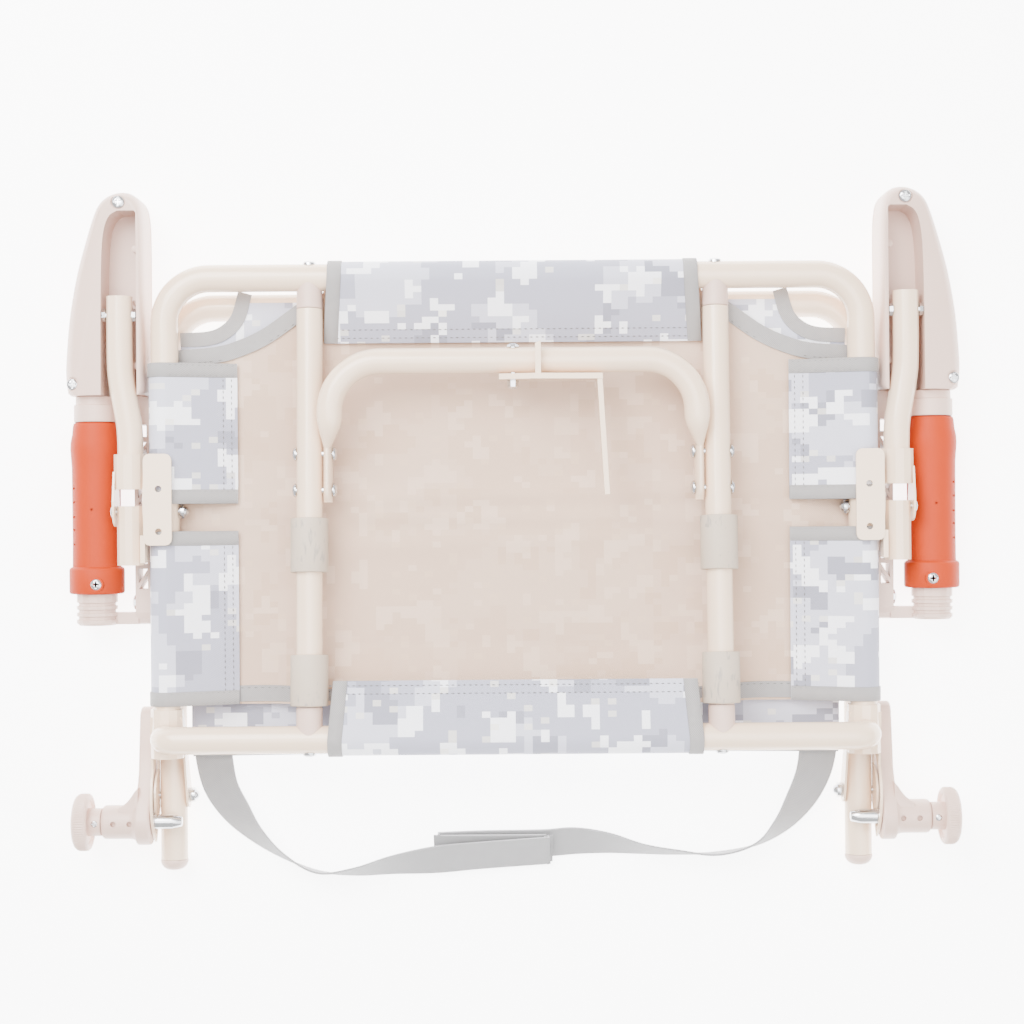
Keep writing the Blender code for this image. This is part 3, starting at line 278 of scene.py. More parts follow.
def lay_over(mat: Material, shader: bpy.types.Node, share: object, color: object) -> None:
    """Mix a colour over whatever feeds the shader's Base Color.

    Args:
        mat: The material.
        shader: Its Principled shader.
        share: How much of the colour shows: a number or a socket.
        color: Three numbers or a socket.
    """
    links = mat.node_tree.links
    mix = mat.node_tree.nodes.new("ShaderNodeMix")
    mix.data_type = "RGBA"
    links.new(shader.inputs["Base Color"].links[0].from_socket, mix.inputs[6])
    for socket, value in ((mix.inputs[0], share), (mix.inputs[7], color)):
        if isinstance(value, float):
            socket.default_value = value
        elif isinstance(value, tuple):
            socket.default_value = (*value, 1.0)
        else:
            links.new(value, socket)
    links.new(mix.outputs[2], shader.inputs["Base Color"])


@dataclass(frozen=True)
class Finish:
    """A surface: its colour, the darker or paler colour it varies to, and its gloss."""

    name: str
    slot: Slot
    color: tuple[float, float, float]
    vary: tuple[float, float, float]
    rough: float
    rough_vary: float = 0.06
    metallic: float = 0.0
    coat: float = 0.0
    sheen: float = 0.0
    grain: float = 900.0
    depth: float = 0.05
    patch: float = 20.0
    specular: float = 0.5

    def shader(self) -> tuple[Material, bpy.types.Node]:
        """Make the material with its plain values on the shader's own sockets."""
        mat = bpy.data.materials.new(self.name)
        mat.use_nodes = True
        mat.diffuse_color = (*self.color, 1.0)
        shader = mat.node_tree.nodes["Principled BSDF"]
        for socket, value in (("Base Color", (*self.color, 1.0)), ("Metallic", self.metallic),
                              ("Coat Weight", self.coat), ("Sheen Weight", self.sheen),
                              ("Specular IOR Level", self.specular)):
            shader.inputs[socket].default_value = value
        return mat, shader

    def color_node(self, mat: Material, mask: object) -> object:
        """The finish's two colours mixed by a mask."""
        mix = mat.node_tree.nodes.new("ShaderNodeMix")
        mix.data_type = "RGBA"
        mix.inputs[6].default_value = (*self.color, 1.0)
        mix.inputs[7].default_value = (*self.vary, 1.0)
        mat.node_tree.links.new(mask, mix.inputs[0])
        return mix.outputs[2]

    def build(self, effects: Effects) -> Material:
        """Make the material.

        Args:
            effects: The shared node groups.

        Returns:
            The finished material.
        """
        mat, shader = self.shader()
        nodes, links = mat.node_tree.nodes, mat.node_tree.links
        grain = add_group(mat, effects.grain, Scale=self.grain, Depth=self.depth, Patch=self.patch)
        links.new(self.color_node(mat, grain.outputs["Mask"]), shader.inputs["Base Color"])
        links.new(grain.outputs["Normal"], shader.inputs["Normal"])
        spread = nodes.new("ShaderNodeMapRange")
        spread.inputs["To Min"].default_value = self.rough - self.rough_vary
        spread.inputs["To Max"].default_value = self.rough + self.rough_vary
        links.new(grain.outputs["Mask"], spread.inputs["Value"])
        links.new(spread.outputs[0], shader.inputs["Roughness"])
        self.add_detail(mat, shader, effects)
        return mat

    def add_detail(self, mat: Material, shader: bpy.types.Node, effects: Effects) -> None:
        """Add what a special finish has over the plain one; the plain one has nothing."""


@dataclass(frozen=True)
class ScuffedFinish(Finish):
    """A matte plastic that other parts have rubbed."""

    scuff: float = 0.5
    scuff_color: tuple[float, float, float] = (0.22, 0.21, 0.20)

    def add_detail(self, mat: Material, shader: bpy.types.Node, effects: Effects) -> None:
        """Lay dark rub marks over the colour.

        Args:
            mat: The material.
            shader: Its Principled shader.
            effects: The shared node groups.
        """
        rub = add_group(mat, effects.scuff, Amount=self.scuff)
        lay_over(mat, shader, rub.outputs["Mask"], self.scuff_color)


@dataclass(frozen=True)
class ClothFinish(Finish):
    """Woven cloth, with painted shade in the weave's low places and as much of the camouflage print as shows
    on this side.
    """

    print_share: float = 1.0
    threads: float = 4200.0
    # The next two fields set the painted shade in the weave's low places: how much of it shows at the lowest
    # places, and how dark a copy of the cloth's colour it goes to.
    valley: float = 0.0
    valley_shade: float = 0.35

    def add_detail(self, mat: Material, shader: bpy.types.Node, effects: Effects) -> None:
        """Add the weave's height, painted shade in the weave's low places, and the print.

        Args:
            mat: The material.
            shader: Its Principled shader.
            effects: The shared node groups.
        """
        nodes, links = mat.node_tree.nodes, mat.node_tree.links
        weave = add_group(mat, effects.weave, Threads=self.threads)
        bump = nodes.new("ShaderNodeBump")
        bump.inputs["Strength"].default_value = 0.25
        bump.inputs["Distance"].default_value = 0.0003
        links.new(weave.outputs["Height"], bump.inputs["Height"])
        links.new(bump.outputs[0], shader.inputs["Normal"])
        # Painted shade: the weave's low places are mixed towards a darker copy of the cloth's colour.
        spread = nodes.new("ShaderNodeMapRange")
        spread.inputs["From Min"].default_value = -0.6
        spread.inputs["To Min"].default_value = self.valley
        spread.inputs["To Max"].default_value = 0.0
        links.new(weave.outputs["Height"], spread.inputs["Value"])
        lay_over(mat, shader, spread.outputs[0], tuple(c * self.valley_shade for c in self.color))
        if self.print_share > 0:
            lay_over(mat, shader, self.print_share, add_group(mat, effects.camo).outputs["Color"])


FINISHES = (
    Finish("cream_paint", Slot.PAINT, (0.86, 0.66, 0.48), (0.82, 0.62, 0.45), 0.24, 0.05,
           coat=0.4, grain=420.0, depth=0.03, patch=9.0),
    Finish("arm_plastic", Slot.PLASTIC, (0.68, 0.49, 0.41), (0.63, 0.45, 0.375), 0.40, 0.05,
           grain=1600.0, depth=0.10, patch=14.0),
    ScuffedFinish("sleeve_plastic", Slot.MATTE, (0.52, 0.43, 0.34), (0.47, 0.385, 0.30), 0.60, 0.08,
                  grain=1500.0, depth=0.15, patch=40.0, scuff=0.55),
    Finish("orange_grip", Slot.GRIP, (0.40, 0.034, 0.0), (0.36, 0.028, 0.0), 0.58, 0.06,
           grain=1500.0, depth=0.10, patch=16.0, specular=0.2),
    # Painted shade: a darker copy of the grip's orange rubber, for the neck in the gap between a grip and its
    # ring.
    Finish("dark_red_neck", Slot.GRIP, (0.16, 0.008, 0.002), (0.12, 0.006, 0.002), 0.50),
    Finish("bright_zinc", Slot.ZINC, (0.72, 0.72, 0.73), (0.58, 0.59, 0.61), 0.20, 0.07,
           metallic=1.0, grain=700.0, depth=0.05, patch=120.0),
    ClothFinish("camo_face", Slot.CLOTH, (0.70, 0.70, 0.78), (0.64, 0.64, 0.72), 0.78, 0.04,
                sheen=0.12, patch=60.0, print_share=1.0),
    ClothFinish("cloth_underside", Slot.CLOTH, (0.62, 0.42, 0.285), (0.57, 0.38, 0.25), 0.82, 0.04,
                sheen=0.08, patch=7.0, print_share=0.13),
    ClothFinish("edge_binding", Slot.WEBBING, (0.36, 0.345, 0.34), (0.30, 0.285, 0.28), 0.80, 0.04,
                sheen=0.10, patch=160.0, print_share=0.0, threads=4000.0, valley=0.42),
    ClothFinish("strap_webbing", Slot.WEBBING, (0.38, 0.375, 0.38), (0.32, 0.315, 0.32), 0.78, 0.04,
                sheen=0.15, patch=120.0, print_share=0.0, threads=3400.0, valley=0.45),
    Finish("stitch_thread", Slot.WEBBING, (0.20, 0.19, 0.19), (0.16, 0.155, 0.15), 0.70),
)


class Palette:
    """Every material by name, with the slot it belongs to."""

    def __init__(self) -> None:
        """Build the materials."""
        effects = Effects()
        self.materials = {finish.name: finish.build(effects) for finish in FINISHES}
        self.slots = {finish.name: finish.slot for finish in FINISHES}

    def dress(self, obj: Object, finish: str, body: str, *nodes: str) -> Object:
        """Give a piece its finish, its body and the nodes that it stands for.

        Args:
            obj: The piece.
            finish: The finish's name.
            body: The frame's body that it moves with.
            nodes: The frame's nodes that it replaces.

        Returns:
            The same piece.
        """
        obj.data.materials.clear()
        obj.data.materials.append(self.materials[finish])
        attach(obj, body)
        if nodes:
            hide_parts(*nodes)
        return obj

    def dress_node(self, frame: dict, node: str, finish: str) -> None:
        """Give a node of the frame its finish."""
        obj = frame["nodes"][node]
        if not obj.material_slots:
            obj.data.materials.append(self.materials[finish])
        for slot in obj.material_slots:
            slot.material = self.materials[finish]


# ---- mesh making -----------------------------------------------------------------------------
def smooth(mesh: bpy.types.Mesh, sharp: float) -> None:
    """Shade a mesh smooth but for the edges steeper than an angle in degrees."""
    mesh.shade_smooth()
    mesh.set_sharp_from_angle(angle=radians(sharp))


def new_object(name: str, bm: bmesh.types.BMesh, sharp: float = 40.0) -> Object:
    """Turn a bmesh into a smooth, linked object.

    Args:
        name: The piece's name.
        bm: The mesh, which is freed.
        sharp: Edges at a steeper angle than this, in degrees, stay sharp.

    Returns:
        The object.
    """
    bmesh.ops.recalc_face_normals(bm, faces=bm.faces)
    mesh = bpy.data.meshes.new(name)
    bm.to_mesh(mesh)
    bm.free()
    smooth(mesh, sharp)
    obj = bpy.data.objects.new(name, mesh)
    bpy.context.collection.objects.link(obj)
    return obj


def skin(bm: bmesh.types.BMesh, rings: Sequence[Sequence[Point]], caps: bool = True,
         loop: bool = False) -> None:
    """Skin a row of rings.

    Args:
        bm: The mesh to add to.
        rings: Rings with equally many points.
        caps: Whether the first and last ring are closed.
        loop: Whether the last ring joins the first one.
    """
    rows = [[bm.verts.new(p) for p in ring] for ring in rings]
    pairs = list(zip(rows, rows[1:]))
    if loop:
        pairs.append((rows[-1], rows[0]))
    for a, b in pairs:
        for i in range(len(a)):
            j = (i + 1) % len(a)
            bm.faces.new((a[i], a[j], b[j], b[i]))
    if caps and not loop:
        bm.faces.new(rows[0])
        bm.faces.new(rows[-1])


def loft(name: str, rings: Sequence[Sequence[Point]], caps: bool = True, loop: bool = False,
         sharp: float = 40.0) -> Object:
    """A skinned row of rings as an object."""
    bm = bmesh.new()
    skin(bm, rings, caps, loop)
    return new_object(name, bm, sharp)


def frames_along(points: Sequence[Point]) -> list[tuple[Vector, Vector, Vector]]:
    """Parallel-transported (place, side, up) along a path."""
    pts = [Vector(p) for p in points]
    ways = []
    for i, p in enumerate(pts):
        ahead = pts[min(i + 1, len(pts) - 1)] - p
        behind = p - pts[max(i - 1, 0)]
        ways.append((ahead.normalized() + behind.normalized()).normalized())
    up = Vector((0, 0, 1)) if abs(ways[0].z) < 0.9 else Vector((0, 1, 0))
    found = []
    for p, way in zip(pts, ways):
        side = way.cross(up).normalized()
        up = side.cross(way).normalized()
        found.append((p, side, up))
    return found


def ring_at(frame: tuple[Vector, Vector, Vector], a: float, b: float, count: int) -> list[Vector]:
    """An ellipse of points about a frame's place."""
    place, side, up = frame
    return [place + side * (a * cos(2 * pi * k / count)) + up * (b * sin(2 * pi * k / count))
            for k in range(count)]


def bar(name: str, points: Sequence[Point], radius: float, wall: float = 0.0, count: int = 32) -> Object:
    """A swept round tube.

    Args:
        name: The piece's name.
        points: Its path.
        radius: Its outer radius.
        wall: Its wall, or 0 for a solid bar.
        count: Points round it.

    Returns:
        The object.
    """
    frames = frames_along(points)
    rings = [ring_at(f, radius, radius, count) for f in frames]
    if wall:
        bore = radius - wall
        rings += [ring_at(f, bore, bore, count) for f in reversed(frames)]
    return loft(name, rings, loop=bool(wall))


def turned(name: str, profile: Sequence[tuple[float, float]], origin: Point, axis: Point,
           count: int = 40, wave: Callable[[float, float], float] | None = None) -> Object:
    """Spin a profile about an axis.

    Args:
        name: The piece's name.
        profile: (distance along the axis, radius) pairs; a closed loop has a bore.
        origin: The axis's starting point.
        axis: Its direction.
        count: Points round it.
        wave: Optional change of the radius from (radius, angle).

    Returns:
        The object.
    """
    turn = Vector((0, 0, 1)).rotation_difference(Vector(axis)).to_matrix()
    start = Vector(origin)
    rings = []
    bored = profile[0] == profile[-1]
    for along, radius in (profile[:-1] if bored else profile):
        ring = []
        for k in range(count):
            angle = 2 * pi * k / count
            r = wave(radius, angle) if wave else radius
            ring.append(start + turn @ Vector((r * cos(angle), r * sin(angle), along)))
        rings.append(ring)
    return loft(name, rings, loop=bored, sharp=32.0)


def arc(centre: tuple[float, float], radius: float, start: float, end: float,
        steps: int) -> list[tuple[float, float]]:
    """Points of a circular arc in a plane; angles in radians."""
    return [(centre[0] + radius * cos(start + (end - start) * k / steps),
             centre[1] + radius * sin(start + (end - start) * k / steps)) for k in range(steps + 1)]


def smooth_path(points: Sequence[Point], steps: int) -> list[Vector]:
    """A smooth curve through points, with a number of steps between each two."""
    pts = [Vector(p) for p in points]
    ends = [pts[0] * 2 - pts[1], *pts, pts[-1] * 2 - pts[-2]]
    made = []
    for a, b, c, d in zip(ends, ends[1:], ends[2:], ends[3:]):
        for k in range(steps):
            t = k / steps
            made.append(0.5 * (2 * b + (c - a) * t + (2 * a - 5 * b + 4 * c - d) * t * t
                               + (3 * b - a - 3 * c + d) * t ** 3))
    made.append(pts[-1])
    return made


def grid(name: str, place: Callable[[float, float], Point], across: int, along: int,
         thickness: float) -> Object:
    """A cloth sheet given by a function of two shares from 0 to 1, with a solid thickness.

    Args:
        name: The piece's name.
        place: The point for shares u and v.
        across: Faces across u.
        along: Faces across v.
        thickness: The cloth's thickness, laid evenly about the sheet.

    Returns:
        The object, with its thickness as real faces.
    """
    bm = bmesh.new()
    rows = [[bm.verts.new(place(i / across, j / along)) for i in range(across + 1)]
            for j in range(along + 1)]
    for low, high in zip(rows, rows[1:]):
        for i in range(across):
            bm.faces.new((low[i], low[i + 1], high[i + 1], high[i]))
    bm.normal_update()
    normals = {v: v.normal.copy() for v in bm.verts}
    made = bmesh.ops.duplicate(bm, geom=list(bm.verts) + list(bm.faces))
    copies = {old: new for old, new in made["vert_map"].items() if old in normals}
    for old, new in copies.items():
        new.co = old.co - normals[old] * thickness / 2
        old.co = old.co + normals[old] * thickness / 2
    rim = [v for v in rows[0]] + [row[-1] for row in rows[1:]] + rows[-1][-2::-1] \
        + [row[0] for row in rows[-2:0:-1]]
    for a, b in zip(rim, rim[1:] + rim[:1]):
        bm.faces.new((a, b, copies[b], copies[a]))
    return new_object(name, bm, 50.0)


def along_curve(curve: Sequence[tuple[float, float]], at: float) -> float:
    """The value at a place in a table of (place, value) rows, straight between them."""
    for (a, low), (b, high) in zip(curve, curve[1:]):
        if at <= b:
            return low + (high - low) * (at - a) / (b - a)
    return curve[-1][1]


def ribbon(name: str, path: Sequence[Point], acrosses: Sequence[Point], width: float, thickness: float,
           ribs: int = 0, rib_height: float = 0.0) -> Object:
    """A flat band along a path, with ribs that run along it.

    Args:
        name: The piece's name.
        path: The middle of the band.
        acrosses: The direction of its width, one for each point.
        width: Its width.
        thickness: Its thickness.
        ribs: How many ribs it has on each face.
        rib_height: How far they stand up.

    Returns:
        The object.
    """
    pts = [Vector(p) for p in path]
    count = max(ribs * 2, 2)
    rings = []
    for i, p in enumerate(pts):
        way = (pts[min(i + 1, len(pts) - 1)] - pts[max(i - 1, 0)]).normalized()
        across = Vector(acrosses[i])
        across = (across - way * across.dot(way)).normalized()
        up = across.cross(way).normalized()
        top, under = [], []
        for k in range(count + 1):
            lift = thickness / 2 + (rib_height if k % 2 else 0.0)
            middle = p + across * (width * (k / count - 0.5))
            top.append(middle + up * lift)
            under.append(middle - up * lift)
        rings.append(top + under[::-1])
    return loft(name, rings, sharp=60.0)


def flat_ribbon(name: str, path: Sequence[Point], width: float, thickness: float) -> Object:
    """A band that lies flat and follows a path."""
    pts = [Vector(p) for p in path]
    sides = []
    for i in range(len(pts)):
        way = pts[min(i + 1, len(pts) - 1)] - pts[max(i - 1, 0)]
        sides.append((-way.y, way.x, 0.0))
    return ribbon(name, pts, sides, width, thickness)


def stitches(name: str, rows: Sequence[Sequence[Point]], length: float = 0.0032, gap: float = 0.0014,
             height: float = 0.0004) -> Object:
    """Rows of short stitches, raised from cloth that faces up.

    Args:
        name: The piece's name.
        rows: One path for each row, on the cloth.
        length: A stitch's length.
        gap: The space between two.
        height: How far a stitch stands up.

    Returns:
        One object with every stitch.
    """
    bm = bmesh.new()
    up = Vector((0, 0, 1))
    for row in rows:
        pts = [Vector(p) for p in row]
        left_over = 0.0
        for a, b in zip(pts, pts[1:]):
            span = (b - a).length
            way = (b - a).normalized()
            side = way.cross(up).normalized() * 0.00045
            at = left_over
            while at + length <= span:
                start, end = a + way * at, a + way * (at + length)
                middle = (start + end) / 2
                ring = [middle + side, middle + up * height, middle - side, middle - up * height]
                mids = [bm.verts.new(p) for p in ring]
                tips = [bm.verts.new(start), bm.verts.new(end)]
                for k in range(4):
                    bm.faces.new((mids[k], mids[(k + 1) % 4], tips[0]))
                    bm.faces.new((mids[(k + 1) % 4], mids[k], tips[1]))
                at += length + gap
            left_over = max(at - span, 0.0)
    return new_object(name, bm, 80.0)


def combine(target: Object, other: Object, operation: str) -> Object:
    """Apply a Boolean and drop the other object."""
    mod = target.modifiers.new("combine", "BOOLEAN")
    mod.operation = operation
    mod.solver = "EXACT"
    mod.object = other
    mesh = bpy.data.meshes.new_from_object(target.evaluated_get(bpy.context.evaluated_depsgraph_get()))
    target.modifiers.clear()
    target.data = mesh
    bpy.data.objects.remove(other)
    return target


def screw_head(name: str, place: Point, axis: Point, radius: float, height: float = 0.0024) -> Object:
    """A domed cross-head screw with a recess cut in its crown."""
    profile = [(-0.001, radius), (0.0, radius), (height * 0.45, radius * 0.97),
               (height * 0.8, radius * 0.80), (height, radius * 0.45), (height * 1.02, 0.0004)]
    head = turned(name, profile, place, axis, 32)
    turn = Vector((0, 0, 1)).rotation_difference(Vector(axis)).to_matrix()
    for long_x in (True, False):
        a, b = (radius * 0.55, radius * 0.13) if long_x else (radius * 0.13, radius * 0.55)
        flat = [(-a, -b), (a, -b), (a, b), (-a, b)]
        rings = [[Vector(place) + turn @ Vector((x, y, z)) for x, y in flat]
                 for z in (height * 0.45, height * 1.6)]
        combine(head, loft("recess", rings), "DIFFERENCE")
    return head


# ---- the chair's own sizes -------------------------------------------------------------------
@dataclass(frozen=True)
class Plan:
    """Sizes that several pieces share, from the back's pivot line (y) and the ground (z)."""

    tube_r: float = 0.011
    half_w: float = 0.280
    seat_depth: float = 0.419
    back_height: float = 0.398
    back_tail: float = 0.052
    corner_r: float = 0.036
    back_z: float = 0.014
    seat_z: float = 0.044
    rear_y: float = 0.0506
    rear_z: float = 0.0710
    sleeve_bore: float = 0.0113
    sleeve_r: float = 0.0132
    brace_y: float = 0.232
    pivot_b: float = 0.158
    brace_x: float = 0.308
    cloth_t: float = 0.0016


PLAN = Plan()


@dataclass
class Shop:
    """The frame, the finishes and the place of the pivot line, which every class needs."""

    frame: dict
    palette: Palette
    pivot_y: float

    def hand_over(self, obj: Object, finish: str, body: str, *nodes: str) -> Object:
        """Move a piece from the chair's own measures to the frame and dress it.

        Args:
            obj: The piece, built from the pivot line.
            finish: The finish's name.
            body: The body that it rides on.
            nodes: The nodes that it stands for.

        Returns:
            The same piece.
        """
        obj.data.transform(Matrix.Translation((0, self.pivot_y, 0)))
        return self.palette.dress(obj, finish, body, *nodes)


def u_path(half_w: float, low: float, top: float, corner_r: float, z: float) -> list[Point]:
    """A flat U: up the left leg, across the top and down the right leg."""
    steps = 18
    left = arc((-half_w + corner_r, top - corner_r), corner_r, pi, pi / 2, steps)
    right = arc((half_w - corner_r, top - corner_r), corner_r, pi / 2, 0, steps)
    return [(x, y, z) for x, y in [(-half_w, low), *left, *right, (half_w, low)]]


# ---- tubes -----------------------------------------------------------------------------------
@dataclass
class SeatTubes:
    """The seat's tube frame with its rear tube, rails, plugs and rail sleeves."""

    wall: float = 0.0015
    start: float = 0.039
    bend_r: float = 0.0116
    rail_x: float = 0.163
    rail_r: float = 0.0104
    plug: float = 0.013
    sleeve_bore: float = 0.0107
    sleeve_r: float = 0.0150
    sleeves: tuple[tuple[str, float, float], ...] = (("rear", 0.0770, 0.0405), ("front", 0.1825, 0.0430))

    def build(self, shop: Shop) -> None:
        """Build every piece."""
        path = u_path(PLAN.half_w, self.start, PLAN.seat_depth, PLAN.corner_r, PLAN.seat_z)
        seat = bar("seat_tube", path, PLAN.tube_r, self.wall, 40)
        shop.hand_over(seat, "cream_paint", "seat", "seat_frame")
        shop.hand_over(self.rear_tube(), "cream_paint", "seat", "rear_cross_tube")
        for side in Side:
            self.build_rail(shop, side)

    def rear_tube(self) -> Object:
        """The rear tube, whose ends turn down onto the seat's side tubes."""
        centre = (PLAN.half_w - self.bend_r, PLAN.rear_z - self.bend_r)
        half = arc(centre, self.bend_r, pi / 2, 0, 14)
        half.append((PLAN.half_w, PLAN.seat_z + PLAN.sleeve_r + 0.0003))
        pts = [(-x, PLAN.rear_y, z) for x, z in reversed(half)] + [(x, PLAN.rear_y, z) for x, z in half]
        return bar("rear_tube", pts, PLAN.tube_r, self.wall, 40)

    def ends(self, side: Side) -> tuple[Vector, Vector]:
        """The front and rear end of a rail's axis."""
        x = side.value * self.rail_x
        return (Vector((x, PLAN.seat_depth - PLAN.tube_r - self.plug / 3, PLAN.seat_z)),
                Vector((x, PLAN.rear_y + PLAN.tube_r + self.plug / 3, PLAN.rear_z)))

    def point(self, side: Side, y: float) -> Vector:
        """The rail's axis at a distance from the pivot line."""
        front, rear = self.ends(side)
        return front.lerp(rear, (front.y - y) / (front.y - rear.y))

    def build_rail(self, shop: Shop, side: Side) -> None:
        """One rail with its two plugs and two sleeves.

        Args:
            shop: The workshop.
            side: The rail's side.
        """
        front, rear = self.ends(side)
        way = (rear - front).normalized()
        step = way * (self.plug + 0.0003) * 0.8
        rail = bar(f"rail_{side.word}", [front + step, rear - step], self.rail_r, self.wall, 40)
        shop.hand_over(rail, "cream_paint", "seat", f"seat_rail_{side.word}")
        for name, end, cross, inward in (("front", front, (PLAN.seat_depth, PLAN.seat_z), 1),
                                         ("rear", rear, (PLAN.rear_y, PLAN.rear_z), -1)):
            plug = self.saddle_plug(f"{name}_plug_{side.word}", end, cross, way * inward)
            shop.hand_over(plug, "arm_plastic", "seat", f"saddle_plug_{name}_{side.word}")
        r, bore, soft = self.sleeve_r, self.sleeve_bore, 0.0008
        for name, start, length in self.sleeves:
            profile = [(0, bore), (0, r - soft), (soft * 0.3, r - soft * 0.3), (soft, r),
                       (length - soft, r), (length - soft * 0.3, r - soft * 0.3), (length, r - soft),
                       (length, bore), (0, bore)]
            made = turned(f"{name}_sleeve_{side.word}", profile, self.point(side, start + length), way, 48)
            shop.hand_over(made, "sleeve_plastic", "seat", f"rail_sleeve_{name}_{side.word}")

    def saddle_plug(self, name: str, end: Vector, cross: tuple[float, float], way: Vector) -> Object:
        """A plug with a groove, whose end is coped to sit on a cross tube.

        Args:
            name: The piece's name.
            end: The rail's end.
            cross: The cross tube's place in (y, z).
            way: The direction from the cross tube along the rail.

        Returns:
            The plug.
        """
        count = 48
        across = Vector((1, 0, 0))
        up = across.cross(way).normalized()
        radius = PLAN.tube_r + 0.0003
        length = self.plug * 0.8 - 0.0003
        inward = 1 if way.y < 0 else -1
        rings = []
        for along, r in ((length, self.rail_r - 0.0005), (length - 0.0006, self.rail_r),
                         (length - 0.0016, self.rail_r), (0.001, self.rail_r), (None, self.rail_r)):
            ring = []
            for k in range(count):
                angle = 2 * pi * k / count
                spoke = across * (r * cos(angle)) + up * (r * sin(angle))
                if along is None:
                    height = min(abs(end.z + spoke.z - cross[1]), radius)
                    reach = sqrt(radius * radius - height * height)
                    ring.append(Vector((end.x + spoke.x, cross[0] - inward * reach, end.z + spoke.z)))
                else:
                    ring.append(end + way * along + spoke)
            rings.append(ring)
        return loft(name, rings)


@dataclass
class InnerFrame:
    """The inner U frame with flattened feet that are riveted to the rails."""

    radius: float = 0.0102
    half_w: float = 0.1455
    front: float = 0.3495
    corner_r: float = 0.040
    foot: float = 0.238
    thin: float = 0.0036
    tall: float = 0.012
    z: float = 0.070
    rivets: tuple[float, float] = (0.248, 0.277)

    def build(self, shop: Shop, tubes: SeatTubes) -> None:
        """Build the tube.

        Args:
            shop: The workshop.
            tubes: The seat's tubes, for the rails' height.
        """
        x, z = self.half_w, self.z
        flat_x = tubes.rail_x - tubes.rail_r - 0.0009 - self.thin
        rows = [(cx, cy, z, self.radius, self.radius)
                for cx, cy in arc((x - self.corner_r, self.front - self.corner_r), self.corner_r, pi / 2, 0,
                                  18)]
        low = tubes.point(Side.RIGHT, self.rivets[1]).z
        for k in range(1, 13):
            share = k / 12
            ease = share * share * (3 - 2 * share)
            rows.append((x + (flat_x - x) * ease, 0.306 - 0.024 * share, z + (low - z) * ease,
                         self.radius + (self.thin - self.radius) * ease,
                         self.radius + (self.tall - self.radius) * ease))
        for k in range(9):
            share = k / 8
            cut_down = sqrt(max(1 - share * share, 0.16))
            y = self.foot + 0.010 * (1 - share)
            rows.append((flat_x, y, tubes.point(Side.RIGHT, y).z, self.thin, self.tall * cut_down))
        both = [(-cx, cy, cz, a, b) for cx, cy, cz, a, b in reversed(rows)] + rows
        frames = frames_along([row[:3] for row in both])
        rings = [ring_at(f, row[3], row[4], 32) for f, row in zip(frames, both)]
        shop.hand_over(loft("inner_frame", rings), "cream_paint", "seat", "bench_frame")


@dataclass
class BackTubes:
    """The back's tube frame and its round end caps."""

    wall: float = 0.0015
    cap: float = 0.0088

    def build(self, shop: Shop) -> None:
        """Build the frame and both caps."""
        path = u_path(PLAN.half_w, -PLAN.back_tail, PLAN.back_height, PLAN.corner_r, PLAN.back_z)
        shop.hand_over(bar("back_tube", path, PLAN.tube_r, self.wall, 40), "cream_paint", "back",
                       "back_frame")
        r = PLAN.tube_r + 0.0003
        start = PLAN.back_tail + 0.0003
        dome = [(start + self.cap * sin(a), r * cos(a) ** 0.7 + 0.0001)
                for a in [pi / 2 * k / 12 for k in range(12)]] + [(start + self.cap, 0.0003)]
        profile = [(start - 0.009, 0.0088), (start, 0.0088), (start, r - 0.0004), *dome[1:]]
        for side in Side:
            cap = turned(f"tube_cap_{side.word}", profile, (side.value * PLAN.half_w, 0, PLAN.back_z),
                         (0, -1, 0))
            shop.hand_over(cap, "arm_plastic", "back", f"back_end_cap_{side.word}")


@dataclass
class Braces:
    """The bent tubes that run from the seat into the armrests."""

    radius: float = 0.0104
    wall: float = 0.0015
    top_x: float = 0.316

    def build(self, shop: Shop) -> None:
        """Build both tubes."""
        start = PLAN.brace_y + 0.022
        end = PLAN.brace_y + PLAN.pivot_b + 0.015
        for side in Side:
            key = [(PLAN.brace_x, start), (PLAN.brace_x, start + 0.030),
                   (PLAN.brace_x + 0.0012, start + 0.050),
                   (self.top_x - 0.0012, start + 0.083), (self.top_x, start + 0.103), (self.top_x, end)]
            path = smooth_path([(side.value * x, y, PLAN.seat_z) for x, y in key], 8)
            tube = bar(f"brace_{side.word}", path, self.radius, self.wall, 40)
            shop.hand_over(tube, "cream_paint", f"brace_{side.word}", f"brace_tube_{side.word}")


# ---- cloth -----------------------------------------------------------------------------------
@dataclass
class Wrap:
    """A cloth flap round a tube, as a section that can be laid along the tube's axis."""

    tube_at: float
    axis_z: float
    reach: float
    drop: float
    lift: int = 1
    play: float = 0.0009
    root: float = 0.020

    def section(self, out: float = 0.0) -> list[tuple[float, float]]:
        """The flap's path: from under the tube, round it and back to the free edge.

        Args:
            out: How far outside the cloth's own path it lies.

        Returns:
            (distance, height) pairs.
        """
        r = PLAN.tube_r + self.play + out
        leave = atan2(-self.drop, -self.reach) % (2 * pi) - acos(r / hypot(self.reach, self.drop))
        path = [(self.tube_at - self.root, self.axis_z - self.lift * r)]
        path += [(self.tube_at + r * cos(a), self.axis_z + self.lift * r * sin(a))
                 for a in [-pi / 2 + (leave + pi / 2) * k / 22 for k in range(23)]]
        end = Vector((self.tube_at - self.reach, self.axis_z + self.lift * (out - self.drop)))
        last = Vector(path[-1])
        path += [tuple(last.lerp(end, k / 12)) for k in range(1, 13)]
        return path


def soft_noise(x: float, y: float, seed: float, scale: float) -> float:
    """A smooth value from -1 to 1 at a place."""
    return noise.noise(Vector((x * scale, y * scale, seed)))


